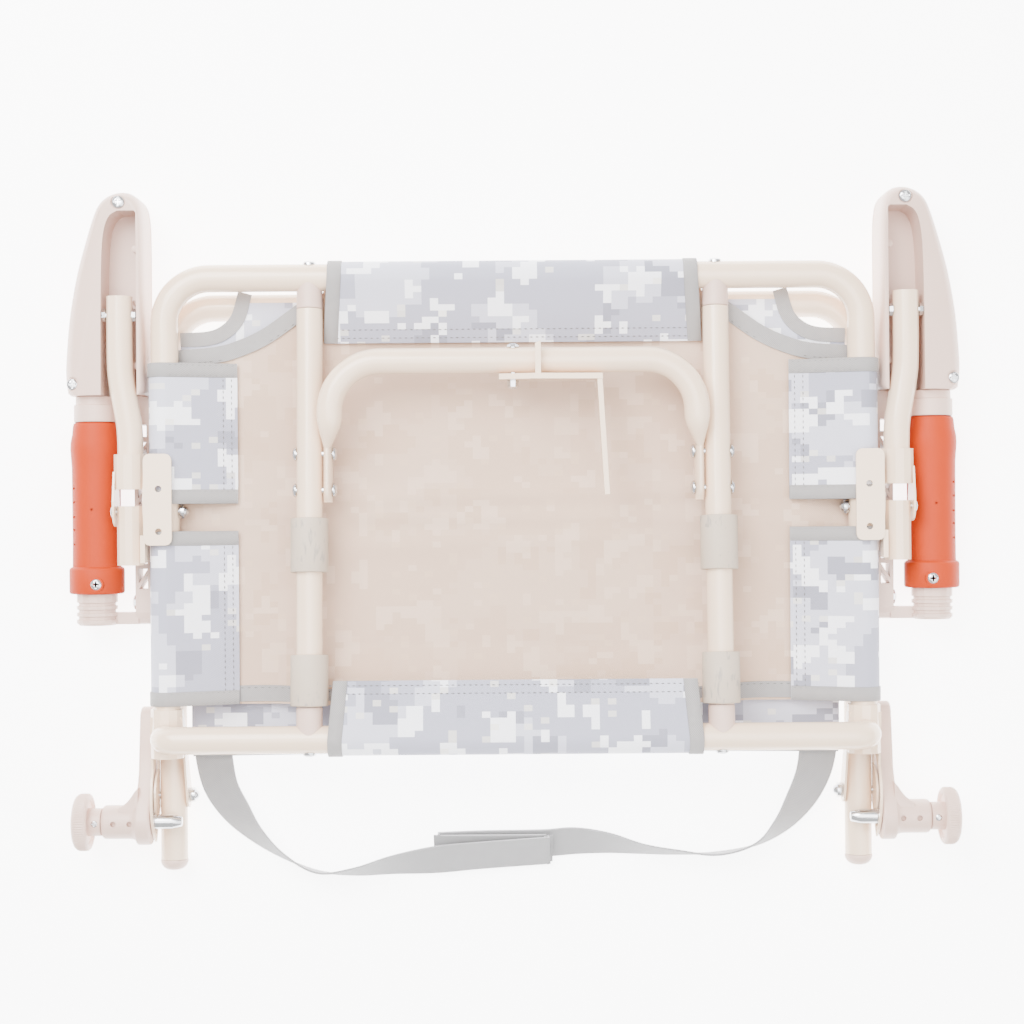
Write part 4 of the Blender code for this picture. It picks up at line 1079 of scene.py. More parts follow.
@dataclass
class SeatCloth:
    """The seat's sling, seen from below: sheet, flaps, wraps and bindings."""

    flaps: tuple[tuple[float, float], ...] = ((0.076, 0.216), (0.238, 0.351))
    flap_reach: float = 0.057
    front_reach: float = 0.052
    rear_reach: float = 0.0464
    wrap_half: float = 0.1475
    binding: float = 0.0115
    sheet_half: float = 0.272
    sheet_z: float = 0.0320
    flare: float = 0.09
    creases: tuple[tuple[float, float, float, float], ...] = (
        (0.243, 0.007, 0.0024, 0.02), (0.225, 0.006, 0.0021, -0.015),
        (0.205, 0.009, 0.0016, 0.03), (0.330, 0.007, 0.0013, 0.02))

    def build(self, shop: Shop) -> None:
        """Build the sheet and everything that is sewn to it."""
        sheet = self.underside()
        shop.hand_over(sheet, "cloth_underside", "seat", "seat_sling")
        for side in Side:
            for index, (low, high) in enumerate(self.flaps):
                self.side_flap(shop, side, index, low, high)
            self.corner_binding(shop, side)
        self.end_wrap(shop, "front", PLAN.seat_depth, PLAN.seat_z, self.front_reach, 0.0088, 1)
        self.end_wrap(shop, "rear", PLAN.rear_y, PLAN.rear_z, self.rear_reach, -0.0020, -1)
        self.rear_bindings(shop)

    def edge(self, y: float) -> float:
        """Half the sheet's width at a distance from the pivot line."""
        curve = ((0.351, self.sheet_half), (0.3584, 0.2403), (0.364, 0.2196), (0.3736, 0.1989),
                 (0.3896, 0.176), (0.4030, 0.156), (0.4200, 0.1475))
        return self.sheet_half if y <= curve[0][0] else along_curve(curve, y)

    def height(self, x: float, y: float) -> float:
        """The sheet's height: slack between the tubes, with soft creases across."""
        z = self.sheet_z
        inside = max(0.0, 1 - (x / 0.27) ** 2) * max(0.0, 1 - ((y - 0.245) / 0.17) ** 2)
        z -= 0.0035 * inside
        z += 0.0011 * soft_noise(x * 0.5, y * 2.2, 3.1, 16.0) * inside ** 0.5
        for at, reach, high, bend in self.creases:
            off = (y - at - bend * x) / reach
            z += high * exp(-off * off) * inside ** 0.5
        ramp = max(0.0, (0.122 - y) / 0.07)
        if ramp and abs(x) < 0.20:
            near = min(1.0, max(0.0, (0.20 - abs(x)) / 0.055))
            z += 0.026 * min(ramp, 1.0) * near * near * (3 - 2 * near)
        return z

    def underside(self) -> Object:
        """The sheet itself."""
        def place(u: float, v: float) -> Point:
            y = self.flaps[0][0] + (PLAN.seat_depth - 0.001 - self.flaps[0][0]) * v
            x = (2 * u - 1) * self.edge(y)
            return x, y, self.height(x, y) - max(0.0, (y - 0.40) * 0.08)
        return grid("seat_sheet", place, 120, 96, PLAN.cloth_t)

    def side_flap(self, shop: Shop, side: Side, index: int, low: float, high: float) -> None:
        """One camouflage flap with its two bindings and its stitches.

        Args:
            shop: The workshop.
            side: The flap's side.
            index: 0 at the rear, 1 at the front.
            low: Its rear edge.
            high: Its front edge.
        """
        name = f"{('rear', 'front')[index]}_flap_{side.word}"
        s = side.value
        wrap = Wrap(PLAN.half_w, PLAN.seat_z, self.flap_reach, 0.0086)
        path = wrap.section()

        def place(u: float, v: float) -> Point:
            x, z = path[round(u * (len(path) - 1))]
            y = low + (high - low) * v
            ease = max(0.0, (PLAN.half_w - x) / self.flap_reach)
            z += 0.0007 * soft_noise(x, y, 7.0 * s + index, 38.0) * min(ease, 1.0)
            return s * x, y, z
        flap = grid(name, place, len(path) - 1, 48, PLAN.cloth_t)
        shop.hand_over(flap, "camo_face", "seat")
        outer = wrap.section(0.0011)[1:]
        for end, at in (("low", low + self.binding / 2), ("high", high - self.binding / 2)):
            row = [(s * x, at, z) for x, z in outer]
            strip = self.strip(f"{name}_{end}_binding", row, (0, 1, 0), self.binding)
            shop.hand_over(strip, "edge_binding", "seat")
        top = [(x, z) for x, z in outer if z > PLAN.seat_z - 0.009 and x < PLAN.half_w + 0.004]
        lines = []
        for off in (0.0042, 0.0106):
            x = PLAN.half_w - self.flap_reach + off
            z = self.on_path(top, x) + 0.0002
            lines.append([(s * x, low + 0.001, z), (s * x, high - 0.001, z)])
        for at in (low + self.binding - 0.0015, high - self.binding + 0.0015, low + 0.0018, high - 0.0018):
            lines.append([(s * x, at, z + 0.0005) for x, z in top])
        thread = stitches(f"{name}_stitches", lines)
        shop.hand_over(thread, "stitch_thread", "seat")

    @staticmethod
    def on_path(path: Sequence[tuple[float, float]], x: float) -> float:
        """The height of a section at a distance."""
        best = min(zip(path, path[1:]), key=lambda pair: abs((pair[0][0] + pair[1][0]) / 2 - x))
        (x0, z0), (x1, z1) = best
        return z0 + (z1 - z0) * (x - x0) / (x1 - x0)

    @staticmethod
    def strip(name: str, path: Sequence[Point], across: Point, width: float,
              thick: float = 0.0012) -> Object:
        """A band whose width lies along one direction.

        Args:
            name: The piece's name.
            path: The middle of the band.
            across: The direction of its width.
            width: Its width.
            thick: Its thickness.

        Returns:
            The band.
        """
        pts = [Vector(p) for p in path]
        rings = []
        for i, p in enumerate(pts):
            way = (pts[min(i + 1, len(pts) - 1)] - pts[max(i - 1, 0)]).normalized()
            out = way.cross(Vector(across)).normalized() * thick / 2
            side = Vector(across).normalized() * width / 2
            soft = side * 0.93
            rings.append([p - side, p - soft + out, p + soft + out, p + side, p + soft - out,
                          p - soft - out])
        return loft(name, rings, sharp=70.0)

    def end_wrap(self, shop: Shop, name: str, at: float, z: float, reach: float, drop: float,
                 way: int) -> None:
        """The flap round the front or the rear tube, with a binding at each end.

        Args:
            shop: The workshop.
            name: Front or rear.
            at: The tube's distance from the pivot line.
            z: The tube's height.
            reach: How far the flap comes back over the seat.
            drop: How far its free edge hangs below the tube's axis.
            way: 1 for the front tube, -1 for the rear one.
        """
        wrap = Wrap(0.0, z, reach, drop)
        path = wrap.section()
        half = self.wrap_half

        def place(u: float, v: float) -> Point:
            y, zz = path[round(u * (len(path) - 1))]
            x = (2 * v - 1) * (half + max(-y, 0) * self.flare * way)
            zz += 0.0006 * soft_noise(x, y, 5.0 + way, 30.0) * min(1.0, max(0.0, -y / reach))
            return x, at + way * y, zz
        shop.hand_over(grid(f"{name}_wrap", place, len(path) - 1, 90, PLAN.cloth_t), "camo_face", "seat")
        outer = wrap.section(0.0011)[1:]
        for side in Side:
            s = side.value
            middle = half - self.binding * 0.45
            row = [(s * (middle + max(-y, 0) * self.flare * way), at + way * y, zz) for y, zz in outer]
            strip = self.strip(f"{name}_wrap_binding_{side.word}", row, (1, 0, 0), self.binding)
            shop.hand_over(strip, "edge_binding", "seat")
        lines = []
        for off in (0.0036, 0.0100):
            y = -reach + off
            zz = self.on_path(outer, y) + 0.0002
            lines.append([(-half, at + way * y, zz), (half, at + way * y, zz)])
        thread = stitches(f"{name}_wrap_stitches", lines)
        shop.hand_over(thread, "stitch_thread", "seat")

    def corner_binding(self, shop: Shop, side: Side) -> None:
        """The grey binding along the sheet's curved front corner."""
        s = side.value
        key = ((0.2760, 0.3556), (0.2403, 0.3584), (0.2196, 0.3640), (0.1989, 0.3736), (0.1760, 0.3896),
               (0.1600, 0.4010))
        path = smooth_path([(s * x, y, self.sheet_z + 0.0014) for x, y in key], 8)
        band = flat_ribbon(f"corner_binding_{side.word}", path, 0.0130, 0.0012)
        shop.hand_over(band, "edge_binding", "seat")
        inner = [p - Vector((s * 0.0022, 0.0046, -0.0007)) for p in path]
        shop.hand_over(stitches(f"corner_stitches_{side.word}", [inner]), "stitch_thread", "seat")

    def rear_bindings(self, shop: Shop) -> None:
        """The grey binding along the sheet's rear edge, on both sides of the rear wrap."""
        for side in Side:
            s = side.value
            path = []
            for k in range(25):
                x = 0.272 - (0.272 - 0.140) * k / 24
                bow = 0.003 * sin(pi * k / 24)
                path.append((s * x, 0.0815 + bow, self.height(x, 0.0815 + bow) + 0.0014))
            band = flat_ribbon(f"rear_binding_{side.word}", path, 0.0130, 0.0012)
            shop.hand_over(band, "edge_binding", "seat")
            line = [Vector(p) + Vector((0, 0.0046, 0.0007)) for p in path]
            shop.hand_over(stitches(f"rear_stitches_{side.word}", [line]), "stitch_thread", "seat")


@dataclass
class BackCloth:
    """The back's sling: its camouflage face looks up between the two frames."""

    flaps: tuple[tuple[float, float], ...] = ((0.088, 0.142), (0.174, 0.345))
    reach: float = 0.040
    half_w: float = 0.270
    z: float = 0.0256
    hem_half: float = 0.263
    corner: tuple[tuple[float, float], ...] = ((0.3712, 0.2700), (0.3724, 0.2472), (0.3776, 0.2336),
                                               (0.3888, 0.2232), (0.4090, 0.2172))

    def build(self, shop: Shop) -> None:
        """Build the sheet, the side flaps and the bindings."""
        sheet = self.sheet()
        shop.hand_over(sheet, "camo_face", "back", "back_sling")
        for side in Side:
            for index, (low, high) in enumerate(self.flaps):
                self.side_flap(shop, side, index, low, high)
            path = smooth_path([(side.value * x, y, self.z + 0.0012) for y, x in self.corner], 10)
            band = flat_ribbon(f"back_corner_binding_{side.word}", path, 0.0115, 0.0010)
            shop.hand_over(band, "edge_binding", "back")
        rows = [(-0.262 + 0.524 * k / 40, 0.0395, self.z + 0.0012) for k in range(41)]
        rows = [(x, y + 0.0018 * sin(pi * (x / 0.524 + 0.5)), z) for x, y, z in rows]
        shop.hand_over(flat_ribbon("back_hem", rows, 0.0130, 0.0012), "edge_binding", "back")
        lines = [[Vector(p) + Vector((0, off, 0.0007)) for p in rows] for off in (-0.0045, 0.0045)]
        shop.hand_over(stitches("back_hem_stitches", lines), "stitch_thread", "back")

    def half_at(self, y: float) -> float:
        """Half the sheet's width at a distance from the pivot line."""
        if y <= self.corner[0][0]:
            return self.half_w if y > self.flaps[0][0] else self.hem_half
        return along_curve(self.corner, y)

    def sheet(self) -> Object:
        """The sheet, slack between the tubes."""
        low, high = 0.034, PLAN.back_height + 0.003

        def place(u: float, v: float) -> Point:
            y = low + (high - low) * v
            x = (2 * u - 1) * self.half_at(y)
            inside = max(0.0, 1 - (x / 0.27) ** 2) * max(0.0, 1 - ((y - 0.21) / 0.19) ** 2)
            return x, y, self.z - 0.004 * inside + 0.0008 * soft_noise(x, y, 1.7, 14.0) * inside
        return grid("back_sheet", place, 110, 90, PLAN.cloth_t)

    def side_flap(self, shop: Shop, side: Side, index: int, low: float, high: float) -> None:
        """One flap round a back tube, seen from behind.

        Args:
            shop: The workshop.
            side: The flap's side.
            index: 0 at the pivot, 1 at the top.
            low: Its lower edge.
            high: Its upper edge.
        """
        wrap = Wrap(PLAN.half_w, PLAN.back_z, self.reach, 0.0075, -1, play=0.0008)
        path = wrap.section()
        s = side.value
        name = f"back_flap_{('low', 'high')[index]}_{side.word}"

        def place(u: float, v: float) -> Point:
            x, z = path[round(u * (len(path) - 1))]
            return s * x, low + (high - low) * v, z
        shop.hand_over(grid(name, place, len(path) - 1, 30, PLAN.cloth_t * 0.8), "camo_face", "back")


@dataclass
class CarryStrap:
    """A ribbed webbing strap sewn to the back's hem, which stands on its edge and is folded in a Z."""

    width: float = 0.030
    thick: float = 0.0014
    ribs: int = 14
    rib_height: float = 0.0002
    lean: float = 0.62
    layer: float = 0.0034

    def keys(self) -> list[tuple[Point, Point]]:
        """Places along the strap with the direction of its width at each.

        Returns:
            (place, direction) pairs from the left end to the right one.
        """
        across = (0.0, cos(self.lean), sin(self.lean))
        normal = Vector((0.0, -sin(self.lean), cos(self.lean)))
        left = [((x, y, z), way) for x, y, z, *way in (
            (-0.2455, 0.0400, 0.0238, 1, 0, 0), (-0.2455, 0.0310, 0.0236, 1, 0, 0),
            (-0.2410, 0.0080, 0.0205, 0.94, 0.2, 0.25), (-0.2300, -0.0120, 0.0175, 0.80, 0.35, 0.48),
            (-0.2150, -0.0310, 0.0155, 0.50, 0.35, 0.80), (-0.1920, -0.0500, 0.0150, 0.20, 0.22, 0.96),
            (-0.1630, -0.0640, 0.0150, 0.04, 0.12, 0.99), (-0.1320, -0.0640, 0.0150, 0.0, 0.35, 0.94),
            (-0.1000, -0.0585, 0.0150, 0.0, 0.62, 0.78), (-0.0650, -0.0545, 0.0150, *across),
            (-0.0300, -0.0515, 0.0150, *across))]
        front = Vector((0.0230, -0.0480, 0.0150))
        turn = self.layer / 2
        fold = []
        for centre, start, way in ((front - normal * turn, pi / 2, -1),
                                   (Vector((-0.0610, front.y, front.z)) - normal * (3 * turn), pi / 2, 1)):
            for k in range(7):
                angle = start + way * pi * k / 6
                bend = Vector((turn * cos(angle) * 1.6, 0, 0)) + normal * (turn * sin(angle))
                fold.append((centre + bend, across))
        low = normal * (4 * turn)
        right = [(Vector((-0.0300, -0.0470, 0.0150)) - low, across),
                 (Vector((0.0220, -0.0465, 0.0150)) - low, across)]
        right += [((x, y, z), way) for x, y, z, *way in (
            (0.0480, -0.0405, 0.0120, 0.0, 0.80, 0.60), (0.0740, -0.0420, 0.0140, 0.0, 0.66, 0.75),
            (0.1020, -0.0470, 0.0150, 0.0, 0.40, 0.91), (0.1300, -0.0500, 0.0150, 0.0, 0.26, 0.96),
            (0.1640, -0.0515, 0.0150, 0.0, 0.10, 0.99), (0.1960, -0.0440, 0.0150, -0.16, 0.18, 0.97),
            (0.2180, -0.0270, 0.0155, -0.50, 0.35, 0.80), (0.2330, -0.0060, 0.0175, -0.80, 0.35, 0.48),
            (0.2420, 0.0140, 0.0208, -0.94, 0.2, 0.25), (0.2455, 0.0320, 0.0236, -1, 0, 0),
            (0.2455, 0.0400, 0.0238, -1, 0, 0))]
        return left + fold + right

    def build(self, shop: Shop) -> None:
        keys = self.keys()
        path = smooth_path([p for p, _ in keys], 6)
        acrosses = smooth_path([w for _, w in keys], 6)
        strap = ribbon("webbing_strap", path, acrosses, self.width, self.thick, self.ribs, self.rib_height)
        shop.hand_over(strap, "strap_webbing", "back", "carry_strap")


# ---- grips and armrests ----------------------------------------------------------------------
@dataclass
class Grip:
    """The soft grip, its collar and ring, all on one axis beside the arm rail."""

    axis_x: float = 0.340
    axis_z: float = 0.0225
    start: float = 0.1656
    collar_end: float = 0.1872
    end: float = 0.3048
    radius: float = 0.0195
    collar_r: float = 0.0222
    screw: tuple[float, float] = (0.3366, 0.1736)

    def build(self, shop: Shop) -> None:
        """Build both grips."""
        for side in Side:
            axis = (side.value * self.axis_x, 0, self.axis_z)
            body = f"arm_{side.word}"
            shop.hand_over(self.sleeve(side, axis), "orange_grip", body, f"arm_grip_{side.word}")
            ring = [(0.3051, 0.0145), (0.3051, 0.0172), (0.3056, 0.0176), (0.3185, 0.0176),
                    (0.3190, 0.0171),
                    (0.3192, 0.0163), (0.3205, 0.0161), (0.3250, 0.0161), (0.3257, 0.0155),
                    (0.3257, 0.0145),
                    (0.3051, 0.0145)]
            made = turned(f"ring_{side.word}", ring, axis, (0, 1, 0), 64)
            shop.hand_over(made, "arm_plastic", f"arm_{side.word}", f"arm_ring_{side.word}")
            # The neck in the gap between grip and ring gets painted shade: a darker copy of the grip's rubber.
            neck = turned(f"neck_{side.word}", [(0.3035, 0.0130), (0.3035, 0.0165), (0.3055, 0.0165),
                                                (0.3055, 0.0130), (0.3035, 0.0130)], axis, (0, 1, 0), 64)
            shop.hand_over(neck, "dark_red_neck", f"arm_{side.word}")
            x, y = (c * k for c, k in zip(self.screw, (side.value, 1)))
            top = self.axis_z + self.collar_r
            profile = [(-0.0040, 0.0066), (-0.0008, 0.0062), (-0.0002, 0.0056), (-0.0001, 0.0046)]
            boss = turned(f"collar_boss_{side.word}", profile, (x, y, top), (0, 0, 1), 36)
            shop.hand_over(boss, "orange_grip", f"arm_{side.word}")
            head = screw_head(f"collar_screw_{side.word}", (x, y, top - 0.0010), (0, 0, 1), 0.0045, 0.0020)
            shop.hand_over(head, "bright_zinc", f"arm_{side.word}")

    def sleeve(self, side: Side, axis: Point) -> Object:
        """The grip with its collar in one turned piece, with slots and holes cut into it."""
        r, c = self.radius, self.collar_r
        profile = [(self.start, 0.010), (self.start, c - 0.0016), (self.start + 0.0005, c - 0.0006),
                   (self.start + 0.0018, c), (self.collar_end - 0.0022, c),
                   (self.collar_end - 0.0008, c - 0.0006),
                   (self.collar_end, c - 0.0018), (self.collar_end + 0.0005, r), (0.2100, r - 0.0002),
                   (0.2500, r), (0.2680, r + 0.0001), (0.2760, r + 0.0007), (0.2830, r + 0.0012),
                   (0.2890, r + 0.0009), (0.2950, r - 0.0004), (self.end - 0.0035, r - 0.0010),
                   (self.end - 0.0010, r - 0.0016), (self.end, r - 0.0032), (self.end, 0.010),
                   (self.start, 0.010)]
        grip = turned(f"grip_{side.word}", profile, axis, (0, 1, 0), 96)
        s = side.value
        for y in (0.2060, 0.2176, 0.2280, 0.2400, 0.2512):
            slot = self.slot_cutter(axis, y, s * radians(56), 0.0008, 0.0024)
            combine(grip, slot, "DIFFERENCE")
        hole = turned("hole", [(0, 0.0011), (0.01, 0.0011)], (axis[0], 0.2340, axis[2] + r - 0.002),
                      (0, 0, 1), 20)
        combine(grip, hole, "DIFFERENCE")
        smooth(grip.data, 40)
        return grip

    def slot_cutter(self, axis: Point, y: float, angle: float, half_y: float, half_turn: float) -> Object:
        """A small pill-shaped cutter that stands on the grip at an angle from straight up."""
        out = Vector((sin(angle), 0, cos(angle)))
        along = Vector((cos(angle), 0, -sin(angle)))
        centre = Vector((axis[0], y, axis[2])) + out * (self.radius - 0.0012)
        flat = arc((half_turn - half_y, 0), half_y, -pi / 2, pi / 2, 6) \
            + arc((-half_turn + half_y, 0), half_y, pi / 2, 3 * pi / 2, 6)
        rings = [[centre + Vector((0, b, 0)) + along * a + out * t for a, b in flat] for t in (0.0, 0.004)]
        return loft("slot", rings)


@dataclass
class Armrest:
    """The long armrest: a padded cover below and a hollow, ribbed shell above it."""

    inner_x: float = 0.296
    width: float = 0.066
    start: float = 0.326
    length: float = 0.164
    cover_top: float = 0.0117
    top: float = 0.0500
    slot_x: float = 0.316
    slot_floor: float = 0.0165
    slot_half: float = 0.0145
    crown: float = 0.0085
    tip_screw: tuple[float, float] = (0.3155, 0.4805)
    grip_screw: tuple[float, float] = (0.3548, 0.3350)

    def outline(self, side: Side) -> list[Vector]:
        """The smooth outline, flat, from the grip's end round the far end and back."""
        x0, x1 = self.inner_x, self.inner_x + self.width
        y0, y1 = self.start, self.start + self.length
        key = [(x1 - 0.0015, y0 + 0.002), (x1, y0 + 0.014), (x1 - 0.0003, y0 + 0.030),
               (x1 - 0.0032, y0 + 0.062),
               (x1 - 0.0090, y1 - 0.070), (x1 - 0.0165, y1 - 0.043), (x1 - 0.0245, y1 - 0.019),
               (x1 - 0.0300, y1 - 0.0090), (x1 - 0.0380, y1 - 0.0028), (x1 - 0.0480, y1 - 0.0003),
               (x0 + 0.0095, y1 - 0.0022), (x0 + 0.0035, y1 - 0.0085), (x0 + 0.0008, y1 - 0.0200),
               (x0, y1 - 0.0400), (x0, y1 - 0.0800), (x0, y0 + 0.004)]
        pts = [(x1 - 0.004, y0)] + [(p.x, p.y) for p in smooth_path([(x, y, 0) for x, y in key], 6)] \
            + [(x0 + 0.002, y0)]
        return [Vector((side.value * x, y, 0)) for x, y in pts]

    def rings(self, side: Side, rows: Sequence[tuple[float, float, float]]) -> list[list[Vector]]:
        """Inset outlines at heights.

        Args:
            side: The armrest's side.
            rows: (height, inset at the outer edge, inset at the inner edge).

        Returns:
            One ring for each row.
        """
        outline, s = self.outline(side), side.value
        made = []
        for z, outer, inner in rows:
            ring = []
            for p in outline:
                off = s * p.x - self.slot_x
                reach = self.inner_x + self.width - self.slot_x if off > 0 else self.slot_x - self.inner_x
                off *= 1 - (outer if off > 0 else inner) / reach
                along = (p.y - self.start) * (1 - (outer + inner) / 2 / self.length)
                ring.append(Vector((s * (self.slot_x + off), self.start + along, z)))
            made.append(ring)
        return made

    def build(self, shop: Shop) -> None:
        """Build both armrests."""
        for side in Side:
            body = f"arm_{side.word}"
            pad = self.rings(side,
                             [(0.0002, 0.0075, 0.0065), (0.0010, 0.0045, 0.0040), (0.0028, 0.0020, 0.0018),
                                    (0.0055, 0.0005, 0.0005), (0.0080, 0.0, 0.0), (0.0108, 0.0, 0.0),
                                    (self.cover_top, 0.0006, 0.0006)])
            shop.hand_over(loft(f"armrest_pad_{side.word}", pad), "arm_plastic", body,
                           f"armrest_cover_{side.word}")
            shell = self.shell(side)
            shop.hand_over(shell, "arm_plastic", body, f"armrest_shell_{side.word}")
            for number, (x, y), depth, r in ((1, self.tip_screw, 0.0012, 0.0050),
                                             (2, self.grip_screw, 0.0092, 0.0048)):
                place = (side.value * x, y, self.top - depth)
                head = screw_head(f"armrest_screw_{number}_{side.word}", place, (0, 0, 1), r, 0.0022)
                shop.hand_over(head, "bright_zinc", body)

    def shell(self, side: Side) -> Object:
        """The hollow shell with its slot, inner ribs and bosses."""
        low = self.cover_top + 0.0003
        rows = [(low, 0.0006, 0.0006), (low + 0.0006, 0.0, 0.0), (0.0300, 0.0, 0.0),
                (0.0380, 0.0003, 0.0001),
                (0.0420, 0.0012, 0.0003), (0.0450, 0.0026, 0.0007), (0.0472, 0.0044, 0.0013),
                (0.0488, 0.0062, 0.0021),
                (0.0497, 0.0078, 0.0028), (self.top, 0.0092, 0.0034)]
        shell = loft(f"armrest_body_{side.word}", self.rings(side, rows), sharp=30.0)
        s = side.value
        combine(shell, self.slot(side), "DIFFERENCE")
        floor = self.slot_floor
        for (x, y), z in ((self.tip_screw, self.top), (self.grip_screw, self.top - 0.0005)):
            sink = turned("sink", [(-0.0022, 0.0058), (0.006, 0.0062)], (s * x, y, z), (0, 0, 1), 32)
            combine(shell, sink, "DIFFERENCE")
        for y, tall in ((0.3500, 0.0200), (0.4010, 0.0200), (0.4440, 0.0235)):
            post = turned("post", [(0.0, 0.0034), (tall, 0.0029), (tall + 0.0004, 0.0020)],
                          (s * (self.slot_x - 0.0118), y, floor - 0.001), (0, 0, 1), 24)
            combine(shell, post, "UNION")
        for x in (self.slot_x - 0.0090, self.slot_x + 0.0098):
            rib = [(x + a, self.start + b) for a,
                   b in ((-0.0006, 0.0010), (0.0006, 0.0010), (0.0006, 0.0250),
                                                        (-0.0006, 0.0250))]
            rings = [[Vector((s * px, py, z)) for px, py in rib] for z in (floor - 0.001, 0.0310)]
            combine(shell, loft("rib", rings), "UNION")
        for v in shell.data.vertices:
            share = min(max((s * v.co.x - self.slot_x - self.slot_half) / 0.0320, 0.0), 1.0)
            v.co.z -= self.crown * share * max(0.0, (v.co.z - low) / (self.top - low))
        smooth(shell.data, 32)
        return shell

    def slot(self, side: Side) -> Object:
        """The cutter for the slot: round at its far end, open at the grip's end."""
        x0, x1 = self.slot_x - self.slot_half, self.slot_x + self.slot_half
        end = self.start + self.length - 0.0165
        key = [(x1 - 0.0003, self.start + 0.060), (x1 - 0.0012, end - 0.042), (x1 - 0.0030, end - 0.018),
               (x1 - 0.0072, end - 0.0050), (x1 - 0.0140, end)]
        curve = [(p.x, p.y) for p in smooth_path([(x, y, 0) for x, y in key], 6)]
        flat = [(x0, self.start - 0.010), (x1, self.start - 0.010), *curve, (x0 + 0.0015, end),
                (x0, end - 0.0015)]
        rings = [[Vector((side.value * x, y, z)) for x, y in flat] for z in (self.slot_floor, 0.0450,
                                                                             0.0600)]
        return loft("slot", rings)


@dataclass
class Recliner:
    """The plate and round housing that carry a sprung pin with a knurled knob."""

    plate_x: float = 0.2940
    plate_t: float = 0.0120
    pin_y: float = -0.0185
    pin_z: float = 0.0360
    far_y: float = 0.0622
    housing_l: float = 0.0280
    housing_r: float = 0.0136
    neck_l: float = 0.0095
    knob_r: float = 0.0228
    knob_t: float = 0.0130
    pin_nose: float = 0.270
    spring_keep: float = 0.44

    def build(self, shop: Shop) -> None:
        """Build both sides."""
        out = self.plate_x + self.plate_t
        end = out + self.housing_l
        knob_in = end + self.neck_l
        centre = (0.0, self.pin_y, self.pin_z)
        for side in Side:
            plunger = f"plunger_{side.word}"
            body = self.housed_plate(side, out, end, centre)
            shop.hand_over(body, "arm_plastic", "back", f"plunger_arm_{side.word}")
            pin = self.pin(side, out, knob_in, centre)
            shop.hand_over(pin, "bright_zinc", plunger, f"plunger_pin_{side.word}")
            self.knob(shop, side, end, knob_in, centre)
            spring = shop.frame["nodes"][f"plunger_spring_{side.word}"]
            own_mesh(spring)

    def housed_plate(self, side: Side, out: float, end: float, centre: Point) -> Object:
        """The plate with its housing, web, oil holes, bore and pivot boss.

        Args:
            side: The side.
            out: The plate's outer face.
            end: The housing's outer end.
            centre: The pin's axis.

        Returns:
            The plate in one piece.
        """
        s, r = side.value, self.housing_r
        body = self.plate(side)
        housing = turned("housing", [(out - 0.0050, r + 0.0030), (out, r + 0.0026), (out + 0.0012, r + 0.0012),
                                     (out + 0.0032, r + 0.0003), (out + 0.0060, r), (end - 0.0034, r),
                                     (end - 0.0016, r - 0.0005), (end - 0.0004, r - 0.0018),
                                     (end, r - 0.0034)], centre, (s, 0, 0), 64)
        combine(body, housing, "UNION")
        combine(body, self.gusset(side, out), "UNION")
        for x in (out + 0.0043, end - 0.0105):
            place = (s * x, self.pin_y, self.pin_z + r - 0.0045)
            hole = turned("hole", [(0.0, 0.0023), (0.020, 0.0023)], place, (0, 0, 1), 24)
            combine(body, hole, "DIFFERENCE")
        bore = turned("bore", [(self.plate_x - 0.004, 0.0066), (out + 0.0030, 0.0066), (out + 0.0030, 0.0090),
                               (end - 0.0030, 0.0090), (end - 0.0030, 0.0046), (end + 0.002, 0.0046)],
                      centre, (s, 0, 0), 40)
        combine(body, bore, "DIFFERENCE")
        boss = turned("boss", [(0.2913, 0.0062), (0.2918, 0.0068), (self.plate_x + 0.001, 0.0075)],
                      (0, self.far_y, PLAN.back_z), (s, 0, 0), 32)
        combine(body, boss, "UNION")
        body.name = f"recliner_plate_{side.word}"
        smooth(body.data, 38)
        return body

    def pin(self, side: Side, out: float, knob_in: float, centre: Point) -> Object:
        """The pin, with a collar that its spring pushes on.

        Args:
            side: The side.
            out: The plate's outer face.
            knob_in: The knob's inner face.
            centre: The pin's axis.

        Returns:
            The pin.
        """
        nose = self.pin_nose
        profile = [(nose, 0.0034), (nose + 0.0006, 0.0040), (nose + 0.0078, 0.0060), (out + 0.0035, 0.0060),
                   (out + 0.0037, 0.0080), (out + 0.0052, 0.0080), (out + 0.0052, 0.0040),
                   (knob_in + 0.0040, 0.0040)]
        return turned(f"recline_pin_{side.word}", profile, centre, (side.value, 0, 0), 48)

    def plate(self, side: Side) -> Object:
        """The plate, a slab with round ends and soft edges."""
        z = PLAN.back_z
        flat = arc((self.far_y, z), 0.0104, -pi / 2, pi / 2 - 0.3, 14) + [(0.040, z + 0.0146),
                                                                          (0.020, z + 0.0180)]
        flat += arc((self.pin_y, self.pin_z), 0.0185, radians(75), radians(215), 22)
        flat += arc((0.0, z), 0.0120, radians(215), radians(268), 8)
        middle = Vector((0.015, z + 0.006))
        rings = []
        steps = ((0.0, 0.0014), (0.0003, 0.0007), (0.0010, 0.0002), (0.0020, 0.0),
                 (self.plate_t - 0.0022, 0.0),
                 (self.plate_t - 0.0011, 0.0003), (self.plate_t - 0.0004, 0.0010), (self.plate_t, 0.0020))
        count = len(flat)
        for out, inset in steps:
            ring = []
            for i, p in enumerate(flat):
                before, after = Vector(flat[i - 1]), Vector(flat[(i + 1) % count])
                way = (after - before).normalized()
                normal = Vector((way.y, -way.x))
                if normal.dot(middle - Vector(p)) < 0:
                    normal.negate()
                q = Vector(p) + normal * inset
                ring.append(Vector((side.value * (self.plate_x + out), q.x, q.y)))
            rings.append(ring)
        return loft("plate", rings)

